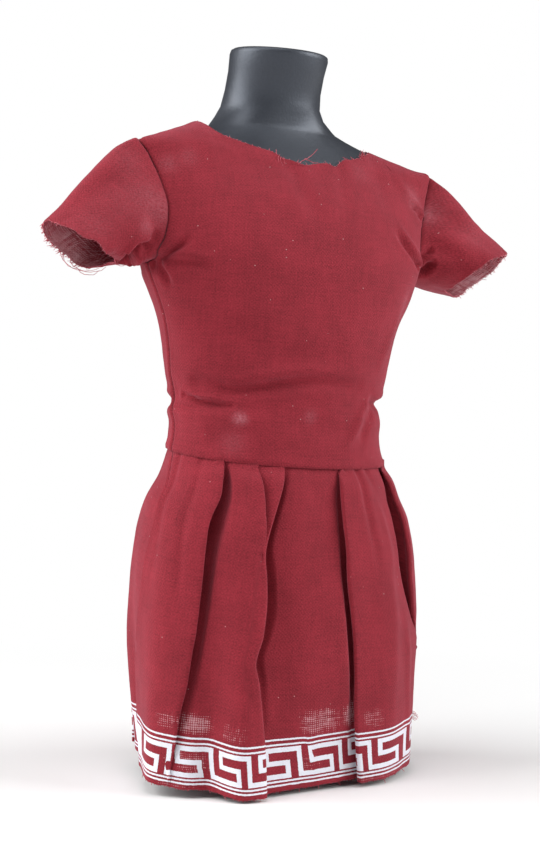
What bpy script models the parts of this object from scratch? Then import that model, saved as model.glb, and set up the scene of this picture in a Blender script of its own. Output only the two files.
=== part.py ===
"""A doll's tunic on a limbless dress form, at its own size.

The tunic is cut from plain woven cotton: a front and a back joined at the shoulders and sides,
two short set-in sleeves, and a pleated skirt in two halves joined on at the waist. The form is a
neck and torso that carries the tunic at the shoulders, on a pole and a flat foot hidden inside
the skirt. +Z is up, the front faces -Y, and the wearer's left is at +X. The origin is the middle
of the foot's underside. Sizes are in millimetres and degrees until the meshes are made.
"""

import math
from collections import namedtuple

import bmesh
import bpy
import numpy as np

MM = 0.001

# Driving sizes of the cloth
CLOTH = 1.0            # wall of the cloth
SEAM_GAP = 0.3         # between two pieces where they are sewn together
WAIST_Z = 64.9         # waist seam, at the middle of the body
HEM_Z = 3.7            # raw lower edge of the skirt, at the middle of the body
ARMPIT_Z = 102.2       # bottom of the armhole
FRONT_SAG = 0.14       # how far waist and hem drop for each millimetre towards the front
WAIST_LEAN = 0.035     # how far the waist drops for each millimetre towards the wearer's left

# Driving sizes of the form
SHOULDER_AIR = 0.3     # air between the form and the cloth, where the shoulders carry it
BODY_AIR = 0.9         # air between the form and the cloth elsewhere
SHOULDER_LOW_Z = 119.0     # the air narrows from here
SHOULDER_HIGH_Z = 125.0    # to here
TORSO_END_Z = 46.0     # flat underside of the torso
POLE_RADIUS = 4.0
FOOT_RADIUS = 14.0
FOOT_THICKNESS = 3.0
FACE_GAP = 0.3         # between the form's own pieces


def table(columns, *rows):
    """A table of rows as named columns; the first column is what it is read by."""
    return {name: [row[k] for row in rows] for k, name in enumerate(columns.split())}


# Outline of the dressed body, outside the cloth. ridge_y is where front and back meet.
BODY = table(
    "z half_width ridge_y front_y back_y squareness",
    (58.0, 24.0, 0.0, -15.9, 15.9, 2.1),
    (64.9, 23.5, 0.0, -15.4, 15.5, 2.1),
    (70.5, 23.0, 0.0, -15.0, 15.3, 2.1),
    (75.5, 22.6, 0.1, -14.9, 15.4, 2.1),
    (80.5, 23.7, 0.2, -15.6, 16.0, 2.1),
    (86.5, 24.5, 0.3, -16.3, 16.6, 2.2),
    (92.5, 26.1, 0.3, -17.0, 17.2, 2.2),
    (98.9, 28.8, 0.3, -17.4, 17.8, 2.2),
    (104.0, 30.6, 0.2, -17.2, 18.0, 2.2),
    (109.5, 32.0, -0.4, -16.0, 18.0, 2.2),
    (115.0, 33.0, -1.2, -13.9, 17.6, 2.1),
    (119.5, 33.4, -2.0, -11.3, 17.0, 2.0),
    (122.5, 33.5, -2.6, -9.4, 16.5, 2.0),
    (125.0, 32.9, -3.0, -8.0, 16.2, 2.0),
    (127.0, 28.6, -1.8, -6.9, 16.0, 2.0),
    (129.0, 23.4, -0.4, -5.9, 16.0, 2.0),
    (131.0, 18.8, 1.2, -5.0, 16.0, 2.0),
    (133.0, 15.0, 3.2, -4.4, 15.8, 2.0),
)

# Bare neck of the form, above the cloth. lean is how far its rings drop towards the front.
NeckRing = namedtuple("NeckRing", "z half_width middle_y half_depth lean")
NECK = (
    NeckRing(134.6, 11.8, 5.4, 9.8, 0.0),
    NeckRing(136.8, 10.6, 5.0, 9.4, 0.02),
    NeckRing(140.0, 10.1, 4.0, 9.4, 0.06),
    NeckRing(143.5, 10.0, 2.7, 9.6, 0.10),
    NeckRing(146.6, 10.2, 1.6, 10.0, 0.14),
    NeckRing(147.4, 10.0, 1.3, 9.8, 0.14),
    NeckRing(147.7, 9.5, 1.2, 9.3, 0.14),
)

# Armhole edge. angle runs from the shoulder tip, 0, to the armpit, 180.
ARMHOLE = table(
    "angle z in_from_side",
    (0.0, 125.2, 0.0),
    (30.0, 122.6, 1.2),
    (60.0, 118.2, 2.3),
    (90.0, 113.2, 3.1),
    (120.0, 108.2, 2.9),
    (150.0, 104.2, 1.3),
    (180.0, ARMPIT_Z, 0.0),
)

# Neckline of the front and of the back, from the wearer's right to left.
NECKLINE = table(
    "x front back",
    (-19.0, 131.0, 131.0),
    (-14.5, 129.0, 129.9),
    (-9.3, 126.3, 129.2),
    (-4.5, 124.3, 128.8),
    (0.5, 123.0, 128.7),
    (5.5, 122.7, 128.8),
    (10.0, 123.9, 129.1),
    (15.0, 126.4, 129.5),
    (21.0, 130.2, 130.2),
)

# Largest creases of the bodice: troughs between two points of the front or back elevation.
Crease = namedtuple("Crease", "side x_start z_start x_end z_end depth width")
CREASES = (
    Crease("front", -13.0, 81.0, 2.0, 85.0, 0.5, 3.4),
    Crease("front", 2.0, 85.0, 22.0, 86.5, 0.5, 3.4),
    Crease("front", -25.0, 80.0, -11.0, 74.5, 0.6, 3.0),
    Crease("front", 10.0, 77.0, 24.0, 75.0, 0.5, 3.0),
    Crease("front", -27.0, 103.0, -16.0, 97.0, 0.4, 3.4),
    Crease("front", 18.0, 99.0, 28.0, 104.0, 0.4, 3.4),
    Crease("back", -24.0, 75.0, -6.0, 79.0, 0.6, 3.2),
    Crease("back", 4.0, 83.0, 24.0, 76.0, 0.6, 3.2),
    Crease("back", -27.0, 104.0, -14.0, 98.0, 0.4, 3.4),
    Crease("back", 14.0, 98.0, 27.0, 104.0, 0.4, 3.4),
)

# Cuffs: the middle of each opening, the way it faces, its half sizes, how far its front and back
# droop, and how far the sleeve's head rises over a straight line from shoulder to cuff.
Cuff = namedtuple("Cuff", "side x y z forward downward half_long half_wide droop head")
CUFFS = {
    "right": Cuff(-1, -42.6, -2.0, 105.7, 10.0, 67.5, 8.1, 9.2, 1.8, 1.9),
    "left": Cuff(1, 46.2, -4.8, 105.0, 36.0, 53.7, 7.0, 8.8, 0.8, 0.3),
}

# Skirt without its folds. drop runs from the waist, 0, to the hem, 1.
SKIRT = table(
    "drop half_width front back squareness",
    (0.0, 23.0, 15.5, 15.5, 2.1),
    (0.05, 23.7, 16.4, 16.4, 2.1),
    (0.1, 25.2, 17.2, 17.2, 2.1),
    (0.16, 27.4, 18.1, 18.1, 2.1),
    (0.25, 28.8, 19.1, 19.2, 2.2),
    (0.35, 29.7, 19.8, 19.8, 2.2),
    (0.48, 30.1, 20.1, 20.2, 2.3),
    (0.6, 30.1, 20.1, 20.2, 2.4),
    (0.72, 29.6, 19.8, 20.0, 2.5),
    (0.85, 29.2, 19.3, 19.6, 2.6),
    (1.0, 29.0, 19.0, 19.2, 2.6),
)

# Pressed folds of the skirt. Angles run from the front, 0, to the wearer's left, 90, and the
# back, 180, at four stations evenly spaced from waist to hem. before and after are how far the
# cloth stands out on the two sides of the fold's step, at the same stations.
Fold = namedtuple("Fold", "angles before after")
FRONT_FOLDS = (
    Fold((-86.0, -78.0, -77.0, -77.0), (0.0, 0.0, -0.4, -0.8), (0.1, 0.5, 0.6, 0.6)),
    Fold((-44.0, -44.0, -50.0, -60.0), (0.9, 2.0, 2.2, 1.7), (-0.1, -0.4, 0.0, 0.4)),
    Fold((-14.2, -20.5, -22.5, -18.0), (1.0, 2.4, 2.9, 2.4), (-0.1, -0.2, 0.0, 0.4)),
    Fold((13.7, 11.0, 14.0, 15.0), (-0.1, -0.6, -1.5, -2.2), (1.0, 2.0, 1.4, 0.5)),
    Fold((53.0, 64.0, 71.0, 77.0), (1.1, 1.5, 1.2, 0.6), (-0.1, -0.8, -0.2, 0.0)),
)
BACK_FOLDS = (
    Fold((128.0, 130.0, 127.0, 122.0), (-0.1, -0.4, -0.2, 0.0), (0.9, 2.2, 2.0, 1.6)),
    Fold((164.0, 160.0, 157.0, 160.0), (-0.1, -0.4, -0.2, 0.2), (1.0, 2.4, 2.4, 2.0)),
    Fold((194.0, 199.0, 203.0, 200.0), (1.0, 2.4, 2.6, 2.0), (-0.1, -0.4, -0.2, 0.0)),
    Fold((232.0, 230.0, 234.0, 238.0), (0.9, 2.2, 1.8, 1.4), (-0.1, -0.4, -0.2, 0.0)),
)
FOLD_LIP = 0.25        # how far a fold's edge hangs over its recess

# Soft waves of the skirt between its pressed folds, at the same four stations.
Wave = namedtuple("Wave", "angles heights spread")
WAVES = (
    Wave((-28.0, -27.0, -27.0, -26.0), (0.3, 1.0, 1.4, 2.0), 8.0),
    Wave((-38.0, -38.0, -40.0, -42.0), (0.0, -0.8, -1.4, -2.4), 8.0),
    Wave((28.0, 27.0, 27.0, 26.0), (0.3, 0.8, 0.6, 0.3), 8.0),
    Wave((45.0, 47.0, 48.0, 48.0), (0.0, -0.6, -0.6, -0.4), 9.0),
    Wave((72.0, 72.0, 76.0, 80.0), (0.5, 0.4, 0.0, 0.0), 9.0),
    Wave((-68.0, -64.0, -68.0, -70.0), (0.0, 0.5, 0.4, 0.4), 9.0),
    Wave((142.0, 144.0, 142.0, 141.0), (0.3, 0.8, 0.9, 1.2), 8.0),
    Wave((180.0, 180.0, 182.0, 180.0), (0.0, -0.6, -0.6, -0.4), 9.0),
    Wave((218.0, 216.0, 218.0, 220.0), (0.3, 0.8, 1.0, 1.2), 8.0),
    Wave((105.0, 106.0, 107.0, 108.0), (0.0, 0.4, 0.5, 0.4), 9.0),
    Wave((255.0, 256.0, 258.0, 258.0), (-0.5, -0.3, -1.2, -2.4), 14.0),
)

# How finely the solids are drawn
BODICE_COLUMNS = 24
BODICE_ROWS = 11       # from the waist to the armpits
YOKE_ROWS = 9          # from the armpits to the shoulders
RIDGE_COLUMNS = 4      # of the columns, those that end on one shoulder seam
SLEEVE_SIDES = 28
SLEEVE_ROWS = 6
SKIRT_ROWS = 15
SKIRT_STEP = 2.5       # between two points of the skirt's section
FORM_SIDES = 36
FORM_STEP = 5.0
FORM_FINE_Z = 118.0    # from here up the torso's rings lie closer
FORM_FINE_STEP = 1.5
SMOOTH_BELOW = math.radians(40.0)


def read(rows, column, x):
    """A column of a table at x, on a smooth curve through its rows."""
    xs = next(iter(rows.values()))
    ys = rows[column]
    x = min(max(x, xs[0]), xs[-1])
    i = min(max(int(np.searchsorted(xs, x)) - 1, 0), len(xs) - 2)
    slopes = [(ys[k + 1] - ys[k]) / (xs[k + 1] - xs[k]) for k in range(len(xs) - 1)]
    start = slopes[i] if i == 0 else 0.5 * (slopes[i - 1] + slopes[i])
    end = slopes[i] if i == len(slopes) - 1 else 0.5 * (slopes[i] + slopes[i + 1])
    span = xs[i + 1] - xs[i]
    s = (x - xs[i]) / span
    return ((2 * s ** 3 - 3 * s ** 2 + 1) * ys[i] + (s ** 3 - 2 * s ** 2 + s) * span * start
            + (3 * s ** 2 - 2 * s ** 3) * ys[i + 1] + (s ** 3 - s ** 2) * span * end)


def station(values, drop):
    """A fold's or wave's value between its evenly spaced stations."""
    places = [k / (len(values) - 1) for k in range(len(values))]
    return read({"drop": places, "value": values}, "value", drop)


def around(angle, half_width, front, back, squareness):
    """A point of a rounded section; 0 is the front and 90 the wearer's left."""
    s = math.sin(math.radians(angle))
    c = math.cos(math.radians(angle))
    power = 2.0 / squareness
    depth = front if c > 0 else back
    return (math.copysign(abs(s) ** power, s) * half_width,
            -math.copysign(abs(c) ** power, c) * depth)


def grid_normals(points, closed):
    """Outward unit normals of a grid of rows that run anticlockwise, from low to high."""
    grid = np.array(points)
    rows, columns = grid.shape[:2]
    normals = np.zeros_like(grid)
    for j in range(rows):
        up = grid[min(j + 1, rows - 1)] - grid[max(j - 1, 0)]
        for i in range(columns):
            if closed:
                along = grid[j][(i + 1) % columns] - grid[j][i - 1]
            else:
                along = grid[j][min(i + 1, columns - 1)] - grid[j][max(i - 1, 0)]
            normal = np.cross(along, up[i])
            normals[j][i] = normal / np.linalg.norm(normal)
    return normals


# Bodice: front and back
def crease_depth(x, z, body_side):
    """How far the creases press the cloth in at a point of the elevation."""
    depth = 0.0
    for crease in CREASES:
        if crease.side != body_side:
            continue
        dx, dz = crease.x_end - crease.x_start, crease.z_end - crease.z_start
        s = ((x - crease.x_start) * dx + (z - crease.z_start) * dz) / (dx * dx + dz * dz)
        s = min(max(s, 0.0), 1.0)
        away = math.hypot(x - crease.x_start - s * dx, z - crease.z_start - s * dz)
        ends = 0.35 + 0.65 * math.sin(math.pi * s)
        depth += crease.depth * ends * math.exp(-(away / crease.width) ** 2)
    return depth


def on_body(x, z, body_side):
    """A point of the cloth's outer face, half a seam's gap on its own side of the side seams."""
    half_width, ridge = read(BODY, "half_width", z), read(BODY, "ridge_y", z)
    squareness = read(BODY, "squareness", z)
    x = min(max(x, -half_width), half_width)
    bulge = max(1.0 - (abs(x) / half_width) ** squareness, 0.0) ** (1.0 / squareness)
    y = (read(BODY, body_side + "_y", z) - ridge) * bulge
    pressed = crease_depth(x, z, body_side) / math.hypot(x, y)
    outwards = -1.0 if body_side == "front" else 1.0
    return (x * (1.0 - pressed), y * (1.0 - pressed) + ridge + outwards * SEAM_GAP / 2, z)


def armhole(angle, side):
    """Elevation of a point of the armhole's edge; side is -1 for the wearer's right."""
    z = read(ARMHOLE, "z", angle)
    return (side * (read(BODY, "half_width", z) - read(ARMHOLE, "in_from_side", angle)), z)


def top_edge(u, body_side):
    """Elevation of the upper edge: shoulder seam, neckline, shoulder seam; u from -1 to 1."""
    side = -1 if u < 0 else 1
    inner = 1.0 - 2.0 * RIDGE_COLUMNS / BODICE_COLUMNS
    if abs(u) >= inner:
        share = (abs(u) - inner) / (1.0 - inner)
        neck_z = NECKLINE[body_side][0 if side < 0 else -1]
        z = neck_z + (ARMHOLE["z"][0] - neck_z) * share
        return (side * read(BODY, "half_width", z), z)
    share = (math.sin(math.radians(90.0 * u / inner)) + 1.0) / 2.0
    x = NECKLINE["x"][0] + (NECKLINE["x"][-1] - NECKLINE["x"][0]) * share
    return (x, read(NECKLINE, body_side, x))


def lower_bodice_row(us, share, body_side):
    """A row between the waist seam, 0, and the armpits, 1."""
    bottom = WAIST_Z + SEAM_GAP / 2
    z_middle = bottom + (ARMPIT_Z - bottom) * share
    half_width = read(BODY, "half_width", z_middle)
    row = []
    for u in us:
        x, y, z = on_body(half_width * math.sin(math.radians(90.0 * u)), z_middle, body_side)
        row.append((x, y, z + (1.0 - share) * (FRONT_SAG * y - WAIST_LEAN * x)))
    return row


def yoke_row(us, share, body_side):
    """A row between the armpits, 0, and the shoulder seams and neckline, 1."""
    half_width = read(BODY, "half_width", ARMPIT_Z)
    armholes = [armhole(180.0 * (1.0 - share), side) for side in (-1, 1)]
    armpits = [(side * half_width, ARMPIT_Z) for side in (-1, 1)]
    tips = [top_edge(side, body_side) for side in (-1, 1)]
    row = []
    for u in us:
        across = math.sin(math.radians(90.0 * u))
        low = (half_width * across, ARMPIT_Z)
        high = top_edge(u, body_side)
        s = ((1.0 - share) * across + share * u + 1.0) / 2.0
        x, z = (
            (1.0 - share) * (low[k] - (1.0 - s) * armpits[0][k] - s * armpits[1][k])
            + share * (high[k] - (1.0 - s) * tips[0][k] - s * tips[1][k])
            + (1.0 - s) * armholes[0][k] + s * armholes[1][k]
            for k in range(2))
        row.append(on_body(x, z, body_side))
    return row


def bodice_points(body_side):
    """Outer face of the bodice's front or back, a grid from waist to shoulders."""
    us = [-1.0 + 2.0 * i / BODICE_COLUMNS for i in range(BODICE_COLUMNS + 1)]
    if body_side == "back":
        us.reverse()
    rows = [lower_bodice_row(us, j / BODICE_ROWS, body_side) for j in range(BODICE_ROWS)]
    rows += [yoke_row(us, 1.0 - (1.0 - j / YOKE_ROWS) ** 1.35, body_side)
             for j in range(YOKE_ROWS + 1)]
    return rows


def bodice_inner_face(outer):
    """The grid moved inwards by the cloth, on its own side of the side and shoulder seams."""
    normals = grid_normals(outer, False)
    for j, row in enumerate(normals):
        for i, normal in enumerate(row):
            on_side = j <= BODICE_ROWS and i in (0, len(row) - 1)
            on_shoulder = j == len(outer) - 1 and min(i, len(row) - 1 - i) <= RIDGE_COLUMNS
            if on_side or on_shoulder:
                normal[1] = 0.0
                normal /= np.linalg.norm(normal)
    return np.array(outer) - CLOTH * normals


def make_bodice(body_side, material, collection):
    outer = bodice_points(body_side)
    inner = bodice_inner_face(outer)
    make_wall("tunic_" + body_side, outer, inner, False, material, collection)


# Sleeves
def cuff_point(cuff, angle):
    """A point of the cuff's edge; 0 is its outer end, 90 its front and 180 under the arm."""
    forward, downward = math.radians(cuff.forward), math.radians(cuff.downward)
    up = np.array((cuff.side * math.cos(forward) * math.sin(downward),
                   -math.sin(forward) * math.sin(downward), math.cos(downward)))
    ahead = np.array((-cuff.side * math.sin(forward), -math.cos(forward), 0.0))
    c, s = math.cos(math.radians(angle)), math.sin(math.radians(angle))
    middle = np.array((cuff.x, cuff.y, cuff.z - cuff.droop * s * s))
    return middle + cuff.half_long * c * up + cuff.half_wide * s * ahead


def sleeve_root(cuff, angle):
    """A point where the sleeve starts, a seam's gap outside the armhole's edge."""
    body_side = "front" if angle <= 180.0 else "back"
    edge_angle = min(angle, 360.0 - angle)
    edge = np.array(on_body(*armhole(edge_angle, cuff.side), body_side))
    under_arm = edge_angle > 135.0
    if under_arm:
        away = np.array((cuff.side * 0.5, 0.0, 1.0))
    else:
        away = np.array((cuff.side, 0.0, -1.2 * math.cos(math.radians(edge_angle)) - 0.4))
    gap = SEAM_GAP + (0.4 if under_arm else 0.1)
    return edge + gap * away / np.linalg.norm(away)


def head_share(share):
    """Rise of the sleeve's top between armhole, 0, and cuff, 1: full at its head."""
    return math.sin(math.pi * share ** 0.5) * (1.0 - 0.6 * share)


def sleeve_points(cuff):
    """Inner face of a sleeve: closed rows of points from the cuff up to the armhole."""
    rows = []
    for j in range(SLEEVE_ROWS, -1, -1):
        share = j / SLEEVE_ROWS
        row = []
        for i in range(SLEEVE_SIDES):
            angle = 360.0 * i / SLEEVE_SIDES
            rise = cuff.head * head_share(share) * max(math.cos(math.radians(angle)), 0.0)
            point = (1.0 - share) * sleeve_root(cuff, angle) + share * cuff_point(cuff, angle)
            row.append(point + np.array((0.0, 0.0, rise)))
        rows.append(row if cuff.side < 0 else row[::-1])
    return rows


def make_sleeve(name, material, collection):
    inner = sleeve_points(CUFFS[name])
    outer = np.array(inner) + CLOTH * grid_normals(inner, True)
    make_wall("sleeve_" + name, outer, inner, True, material, collection)


# Skirt: front and back
def skirt_wave(angle, drop):
    """Height of the soft waves at a place of the skirt."""
    height = 0.0
    for wave in WAVES:
        away = (angle - station(wave.angles, drop) + 180.0) % 360.0 - 180.0
        height += station(wave.heights, drop) * math.exp(-(away / wave.spread) ** 2)
    return height


def skirt_panels(folds, start, end, drop, counts):
    """Outer edge of the skirt's section at one drop: a list of points for each panel."""
    section = [read(SKIRT, column, drop) for column in ("half_width", "front", "back", "squareness")]
    lip = math.degrees(FOLD_LIP / section[0])
    edges = [start]
    heights = [0.0]
    for fold in folds:
        angle = station(fold.angles, drop)
        edges += [angle + lip, angle - lip]
        heights += [station(fold.before, drop), station(fold.after, drop)]
    edges.append(end)
    heights.append(0.0)
    panels = []
    for k, count in enumerate(counts):
        first, last = edges[2 * k], edges[2 * k + 1]
        low, high = heights[2 * k], heights[2 * k + 1]
        points = []
        for i in range(count + 1):
            share = i / count
            angle = first + (last - first) * share
            ease = (1.0 - math.cos(math.pi * share)) / 2.0
            out = low + (high - low) * ease + skirt_wave(angle, drop)
            here = np.array(around(angle, *section))
            along = np.array(around(angle + 0.5, *section)) - here
            normal = np.array((along[1], -along[0])) / np.linalg.norm(along)
            points.append(here + out * normal)
        panels.append(points)
    return panels


def inset(points, distance):
    """The same open outline moved inwards, with its corners kept sharp."""
    edges = np.diff(np.array(points), axis=0)
    lefts = [np.array((-edge[1], edge[0])) / np.linalg.norm(edge) for edge in edges]
    inner = []
    for i, point in enumerate(points):
        sides = lefts[max(i - 1, 0):i + 1]
        mitre = sum(sides) / len(sides)
        inner.append(point + distance * mitre / max(float(mitre @ mitre), 0.3))
    return inner


def panel_counts(folds, start, end):
    """How many steps each panel of the skirt takes, from its width halfway down."""
    counts = []
    for panel in skirt_panels(folds, start, end, 0.5, [8] * (len(folds) + 1)):
        width = float(np.sum(np.linalg.norm(np.diff(np.array(panel), axis=0), axis=1)))
        counts.append(max(2, round(width / SKIRT_STEP)))
    return counts


def make_skirt(body_side, folds, start, material, collection):
    gap = math.degrees(SEAM_GAP / 2 / SKIRT["front"][-1])
    start, end = start + gap, start + 180.0 - gap
    counts = panel_counts(folds, start, end)
    top = WAIST_Z - SEAM_GAP / 2
    outer, inner = [], []
    for j in range(SKIRT_ROWS, -1, -1):
        drop = (j / SKIRT_ROWS) ** 1.2
        z = top + (HEM_Z - top) * drop
        outline = sum(skirt_panels(folds, start, end, drop, counts), [])
        for grid, points in ((outer, outline), (inner, inset(outline, CLOTH))):
            grid.append([(x, y, z + FRONT_SAG * y - (1.0 - drop) * WAIST_LEAN * x)
                         for x, y in points])
    make_wall("skirt_" + body_side, outer, inner, False, material, collection)


# Form: torso with its neck, pole and foot
def body_ring(z):
    """A ring of the dressed body's outline."""
    ridge = read(BODY, "ridge_y", z)
    front, back = ridge - read(BODY, "front_y", z), read(BODY, "back_y", z) - ridge
    ring = []
    for i in range(FORM_SIDES):
        x, y = around(360.0 * i / FORM_SIDES, read(BODY, "half_width", z), front, back,
                      read(BODY, "squareness", z))
        ring.append((x, y + ridge, z))
    return ring


def torso_rings():
    """Rings of the torso, inside the cloth by its thickness and the air under it."""
    lowest, highest = BODY["z"][0], BODY["z"][-1]
    levels = list(np.arange(lowest, FORM_FINE_Z, FORM_STEP))
    levels += list(np.arange(FORM_FINE_Z, highest + 0.01, FORM_FINE_STEP))
    outline = [body_ring(z) for z in levels]
    rings = []
    for z, ring, normals in zip(levels, outline, grid_normals(outline, True)):
        shoulder = (z - SHOULDER_LOW_Z) / (SHOULDER_HIGH_Z - SHOULDER_LOW_Z)
        shoulder = min(max(shoulder, 0.0), 1.0)
        air = BODY_AIR + (SHOULDER_AIR - BODY_AIR) * shoulder
        rings.append(np.array(ring) - (CLOTH + air) * normals)
    underside = np.array(rings[0])
    underside[:, 2] = TORSO_END_Z
    return [underside] + rings


def neck_ring(row):
    """A ring of the bare neck, leaning forwards with it."""
    ring = []
    for i in range(FORM_SIDES):
        x, y = around(360.0 * i / FORM_SIDES, row.half_width, row.half_depth, row.half_depth, 2.0)
        ring.append((x, y + row.middle_y, row.z + row.lean * y))
    return ring


def make_torso(material, collection):
    rings = torso_rings() + [neck_ring(row) for row in NECK]
    bm = bmesh.new()
    loops = [[bm.verts.new(np.array(point) * MM) for point in ring] for ring in rings]
    for low, high in zip(loops, loops[1:]):
        for i in range(FORM_SIDES):
            k = (i + 1) % FORM_SIDES
            bm.faces.new((low[i], low[k], high[k], high[i]))
    bm.faces.new(loops[0][::-1])
    bm.faces.new(loops[-1])
    place("form_torso", bm, material, collection)


def make_round(name, radius, low, high, material, collection):
    """A round post or disc on the middle line, its edges a little rounded."""
    bpy.ops.mesh.primitive_cylinder_add(vertices=32, radius=radius * MM, depth=(high - low) * MM,
                                        location=(0.0, 0.0, (low + high) / 2 * MM))
    piece = bpy.context.object
    piece.name = name
    piece.data.name = name
    piece.data.materials.append(material)
    for owner in list(piece.users_collection):
        owner.objects.unlink(piece)
    collection.objects.link(piece)
    rounding = piece.modifiers.new("rounded edges", "BEVEL")
    rounding.width = 0.4 * MM
    piece.data.shade_smooth()
    piece.data.set_sharp_from_angle(angle=SMOOTH_BELOW)


# Meshes, objects and materials
def make_wall(name, outer, inner, closed, material, collection):
    """A closed wall of cloth between its outer and its inner grid of points."""
    bm = bmesh.new()
    out = [[bm.verts.new(np.array(point) * MM) for point in row] for row in outer]
    ins = [[bm.verts.new(np.array(point) * MM) for point in row] for row in inner]
    rows, columns = len(outer), len(outer[0])
    pairs = [(i, (i + 1) % columns) for i in range(columns if closed else columns - 1)]
    for j in range(rows - 1):
        for i, k in pairs:
            bm.faces.new((out[j][i], out[j][k], out[j + 1][k], out[j + 1][i]))
            bm.faces.new((ins[j][i], ins[j + 1][i], ins[j + 1][k], ins[j][k]))
    for i, k in pairs:
        bm.faces.new((out[0][k], out[0][i], ins[0][i], ins[0][k]))
        bm.faces.new((out[-1][i], out[-1][k], ins[-1][k], ins[-1][i]))
    if not closed:
        for j in range(rows - 1):
            bm.faces.new((out[j][0], out[j + 1][0], ins[j + 1][0], ins[j][0]))
            bm.faces.new((out[j + 1][-1], out[j][-1], ins[j][-1], ins[j + 1][-1]))
    place(name, bm, material, collection)


def place(name, bm, material, collection):
    """An object for a finished mesh, with smooth faces and its material."""
    mesh = bpy.data.meshes.new(name)
    bm.to_mesh(mesh)
    bm.free()
    mesh.materials.append(material)
    mesh.shade_smooth()
    mesh.set_sharp_from_angle(angle=SMOOTH_BELOW)
    collection.objects.link(bpy.data.objects.new(name, mesh))


def finish(name, colour, roughness):
    """A plain material with its colour and roughness."""
    material = bpy.data.materials.new(name)
    material.use_nodes = True
    shader = material.node_tree.nodes["Principled BSDF"]
    shader.inputs["Base Color"].default_value = (*colour, 1.0)
    shader.inputs["Roughness"].default_value = roughness
    return material


def main():
    for item in list(bpy.data.objects):
        bpy.data.objects.remove(item, do_unlink=True)
    collection = bpy.data.collections.new("doll tunic on dress form")
    bpy.context.scene.collection.children.link(collection)
    cloth = finish("dark red cotton", (0.24, 0.018, 0.035), 0.9)
    black = finish("black moulded plastic", (0.03, 0.032, 0.036), 0.45)
    for body_side in ("front", "back"):
        make_bodice(body_side, cloth, collection)
    for name in CUFFS:
        make_sleeve(name, cloth, collection)
    make_skirt("front", FRONT_FOLDS, -90.0, cloth, collection)
    make_skirt("back", BACK_FOLDS, 90.0, cloth, collection)
    make_torso(black, collection)
    make_round("form_pole", POLE_RADIUS, FOOT_THICKNESS + FACE_GAP, TORSO_END_Z - FACE_GAP,
               black, collection)
    make_round("form_foot", FOOT_RADIUS, 0.0, FOOT_THICKNESS, black, collection)


main()
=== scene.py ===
# The looks of a doll's tunic on a limbless dress form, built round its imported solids. The tunic is
# dark red plain-woven cotton with raw edges and a white printed key border. Sizes are millimetres
# until a mesh is made; +Z is up, the front faces -Y and the wearer's left is at +X.
import math
import random
import bpy
import numpy as np
from collections import namedtuple
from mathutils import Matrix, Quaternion, Vector, noise


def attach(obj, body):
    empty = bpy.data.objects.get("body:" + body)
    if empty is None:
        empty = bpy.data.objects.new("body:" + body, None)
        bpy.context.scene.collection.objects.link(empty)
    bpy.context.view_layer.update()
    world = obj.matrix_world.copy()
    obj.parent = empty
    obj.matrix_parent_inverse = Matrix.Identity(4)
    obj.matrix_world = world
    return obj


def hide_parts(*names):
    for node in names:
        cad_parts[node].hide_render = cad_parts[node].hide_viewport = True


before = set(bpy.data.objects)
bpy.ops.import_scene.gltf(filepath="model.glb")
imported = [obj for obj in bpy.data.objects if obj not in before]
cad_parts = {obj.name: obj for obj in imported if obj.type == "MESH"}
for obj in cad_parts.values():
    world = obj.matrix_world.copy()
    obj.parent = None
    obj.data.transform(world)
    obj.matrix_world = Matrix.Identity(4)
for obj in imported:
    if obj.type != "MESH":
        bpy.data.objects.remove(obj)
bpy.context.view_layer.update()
bpy.ops.object.select_all(action="DESELECT")
MM = 0.001

# Camera: stands level at the wearer's right front, close enough to give slight perspective, and
# is rolled by one degree as the photograph is.
VIEW_AZIMUTH = -28.0
VIEW_DISTANCE = 307.5
VIEW_HEIGHT = 69.4
VIEW_ROLL = 1.0
VIEW_LENS = 63.7
PHOTO_HEIGHT = 848         # pixels
VIEW_SHIFT = (-5.8, 10.1)  # pixels that place the object in the photograph's frame

turned = math.radians(VIEW_AZIMUTH)
bpy.ops.object.camera_add(location=(VIEW_DISTANCE * math.sin(turned) * MM,
                                    -VIEW_DISTANCE * math.cos(turned) * MM, VIEW_HEIGHT * MM))
camera = bpy.context.object
camera.rotation_mode = "QUATERNION"
camera.rotation_quaternion = (Quaternion((0, 0, 1), turned)
                              @ Quaternion((1, 0, 0), math.radians(90.0))
                              @ Quaternion((0, 0, 1), math.radians(VIEW_ROLL)))
camera.data.lens = VIEW_LENS
camera.data.sensor_width = 36.0
camera.data.clip_start = 0.01
camera.data.shift_x, camera.data.shift_y = (shift / PHOTO_HEIGHT for shift in VIEW_SHIFT)
bpy.context.scene.camera = camera
bpy.ops.object.select_all(action="DESELECT")

# Dress form: a limbless neck and torso that carries the tunic at its shoulders, on a pole inside
# the skirt and a flat foot at the floor, whose rim shows under the hem from behind. Moulded in
# black plastic, semi-matt, so its highlights are soft, wide and bluish, with a fine grain.
PLASTIC_DARK = "#24262C"
PLASTIC_LIGHT = "#33363D"
PLASTIC_SHINE = "#DDE6F4"
PLASTIC_GRAIN = 0.45       # size of the mould's grain
PLASTIC_CLOUD = 9.0        # size of the duller and glossier patches
PLASTIC_RELIEF = 0.06      # depth of the grain


def linear(colour):
    """An sRGB hex colour in the linear values that a socket takes."""
    parts = [int(colour[k:k + 2], 16) / 255 for k in (1, 3, 5)]
    return (*[p / 12.92 if p <= 0.04045 else ((p + 0.055) / 1.055) ** 2.4 for p in parts], 1.0)


def add_node(material, kind, links=None, **settings):
    """Adds a node; links give an input by name or number a value or another node's output."""
    node = material.node_tree.nodes.new(kind)
    for name, value in settings.items():
        setattr(node, name, value)
    for socket, value in (links or {}).items():
        if isinstance(value, bpy.types.NodeSocket):
            material.node_tree.links.new(value, node.inputs[socket])
        else:
            node.inputs[socket].default_value = value
    return node


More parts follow.
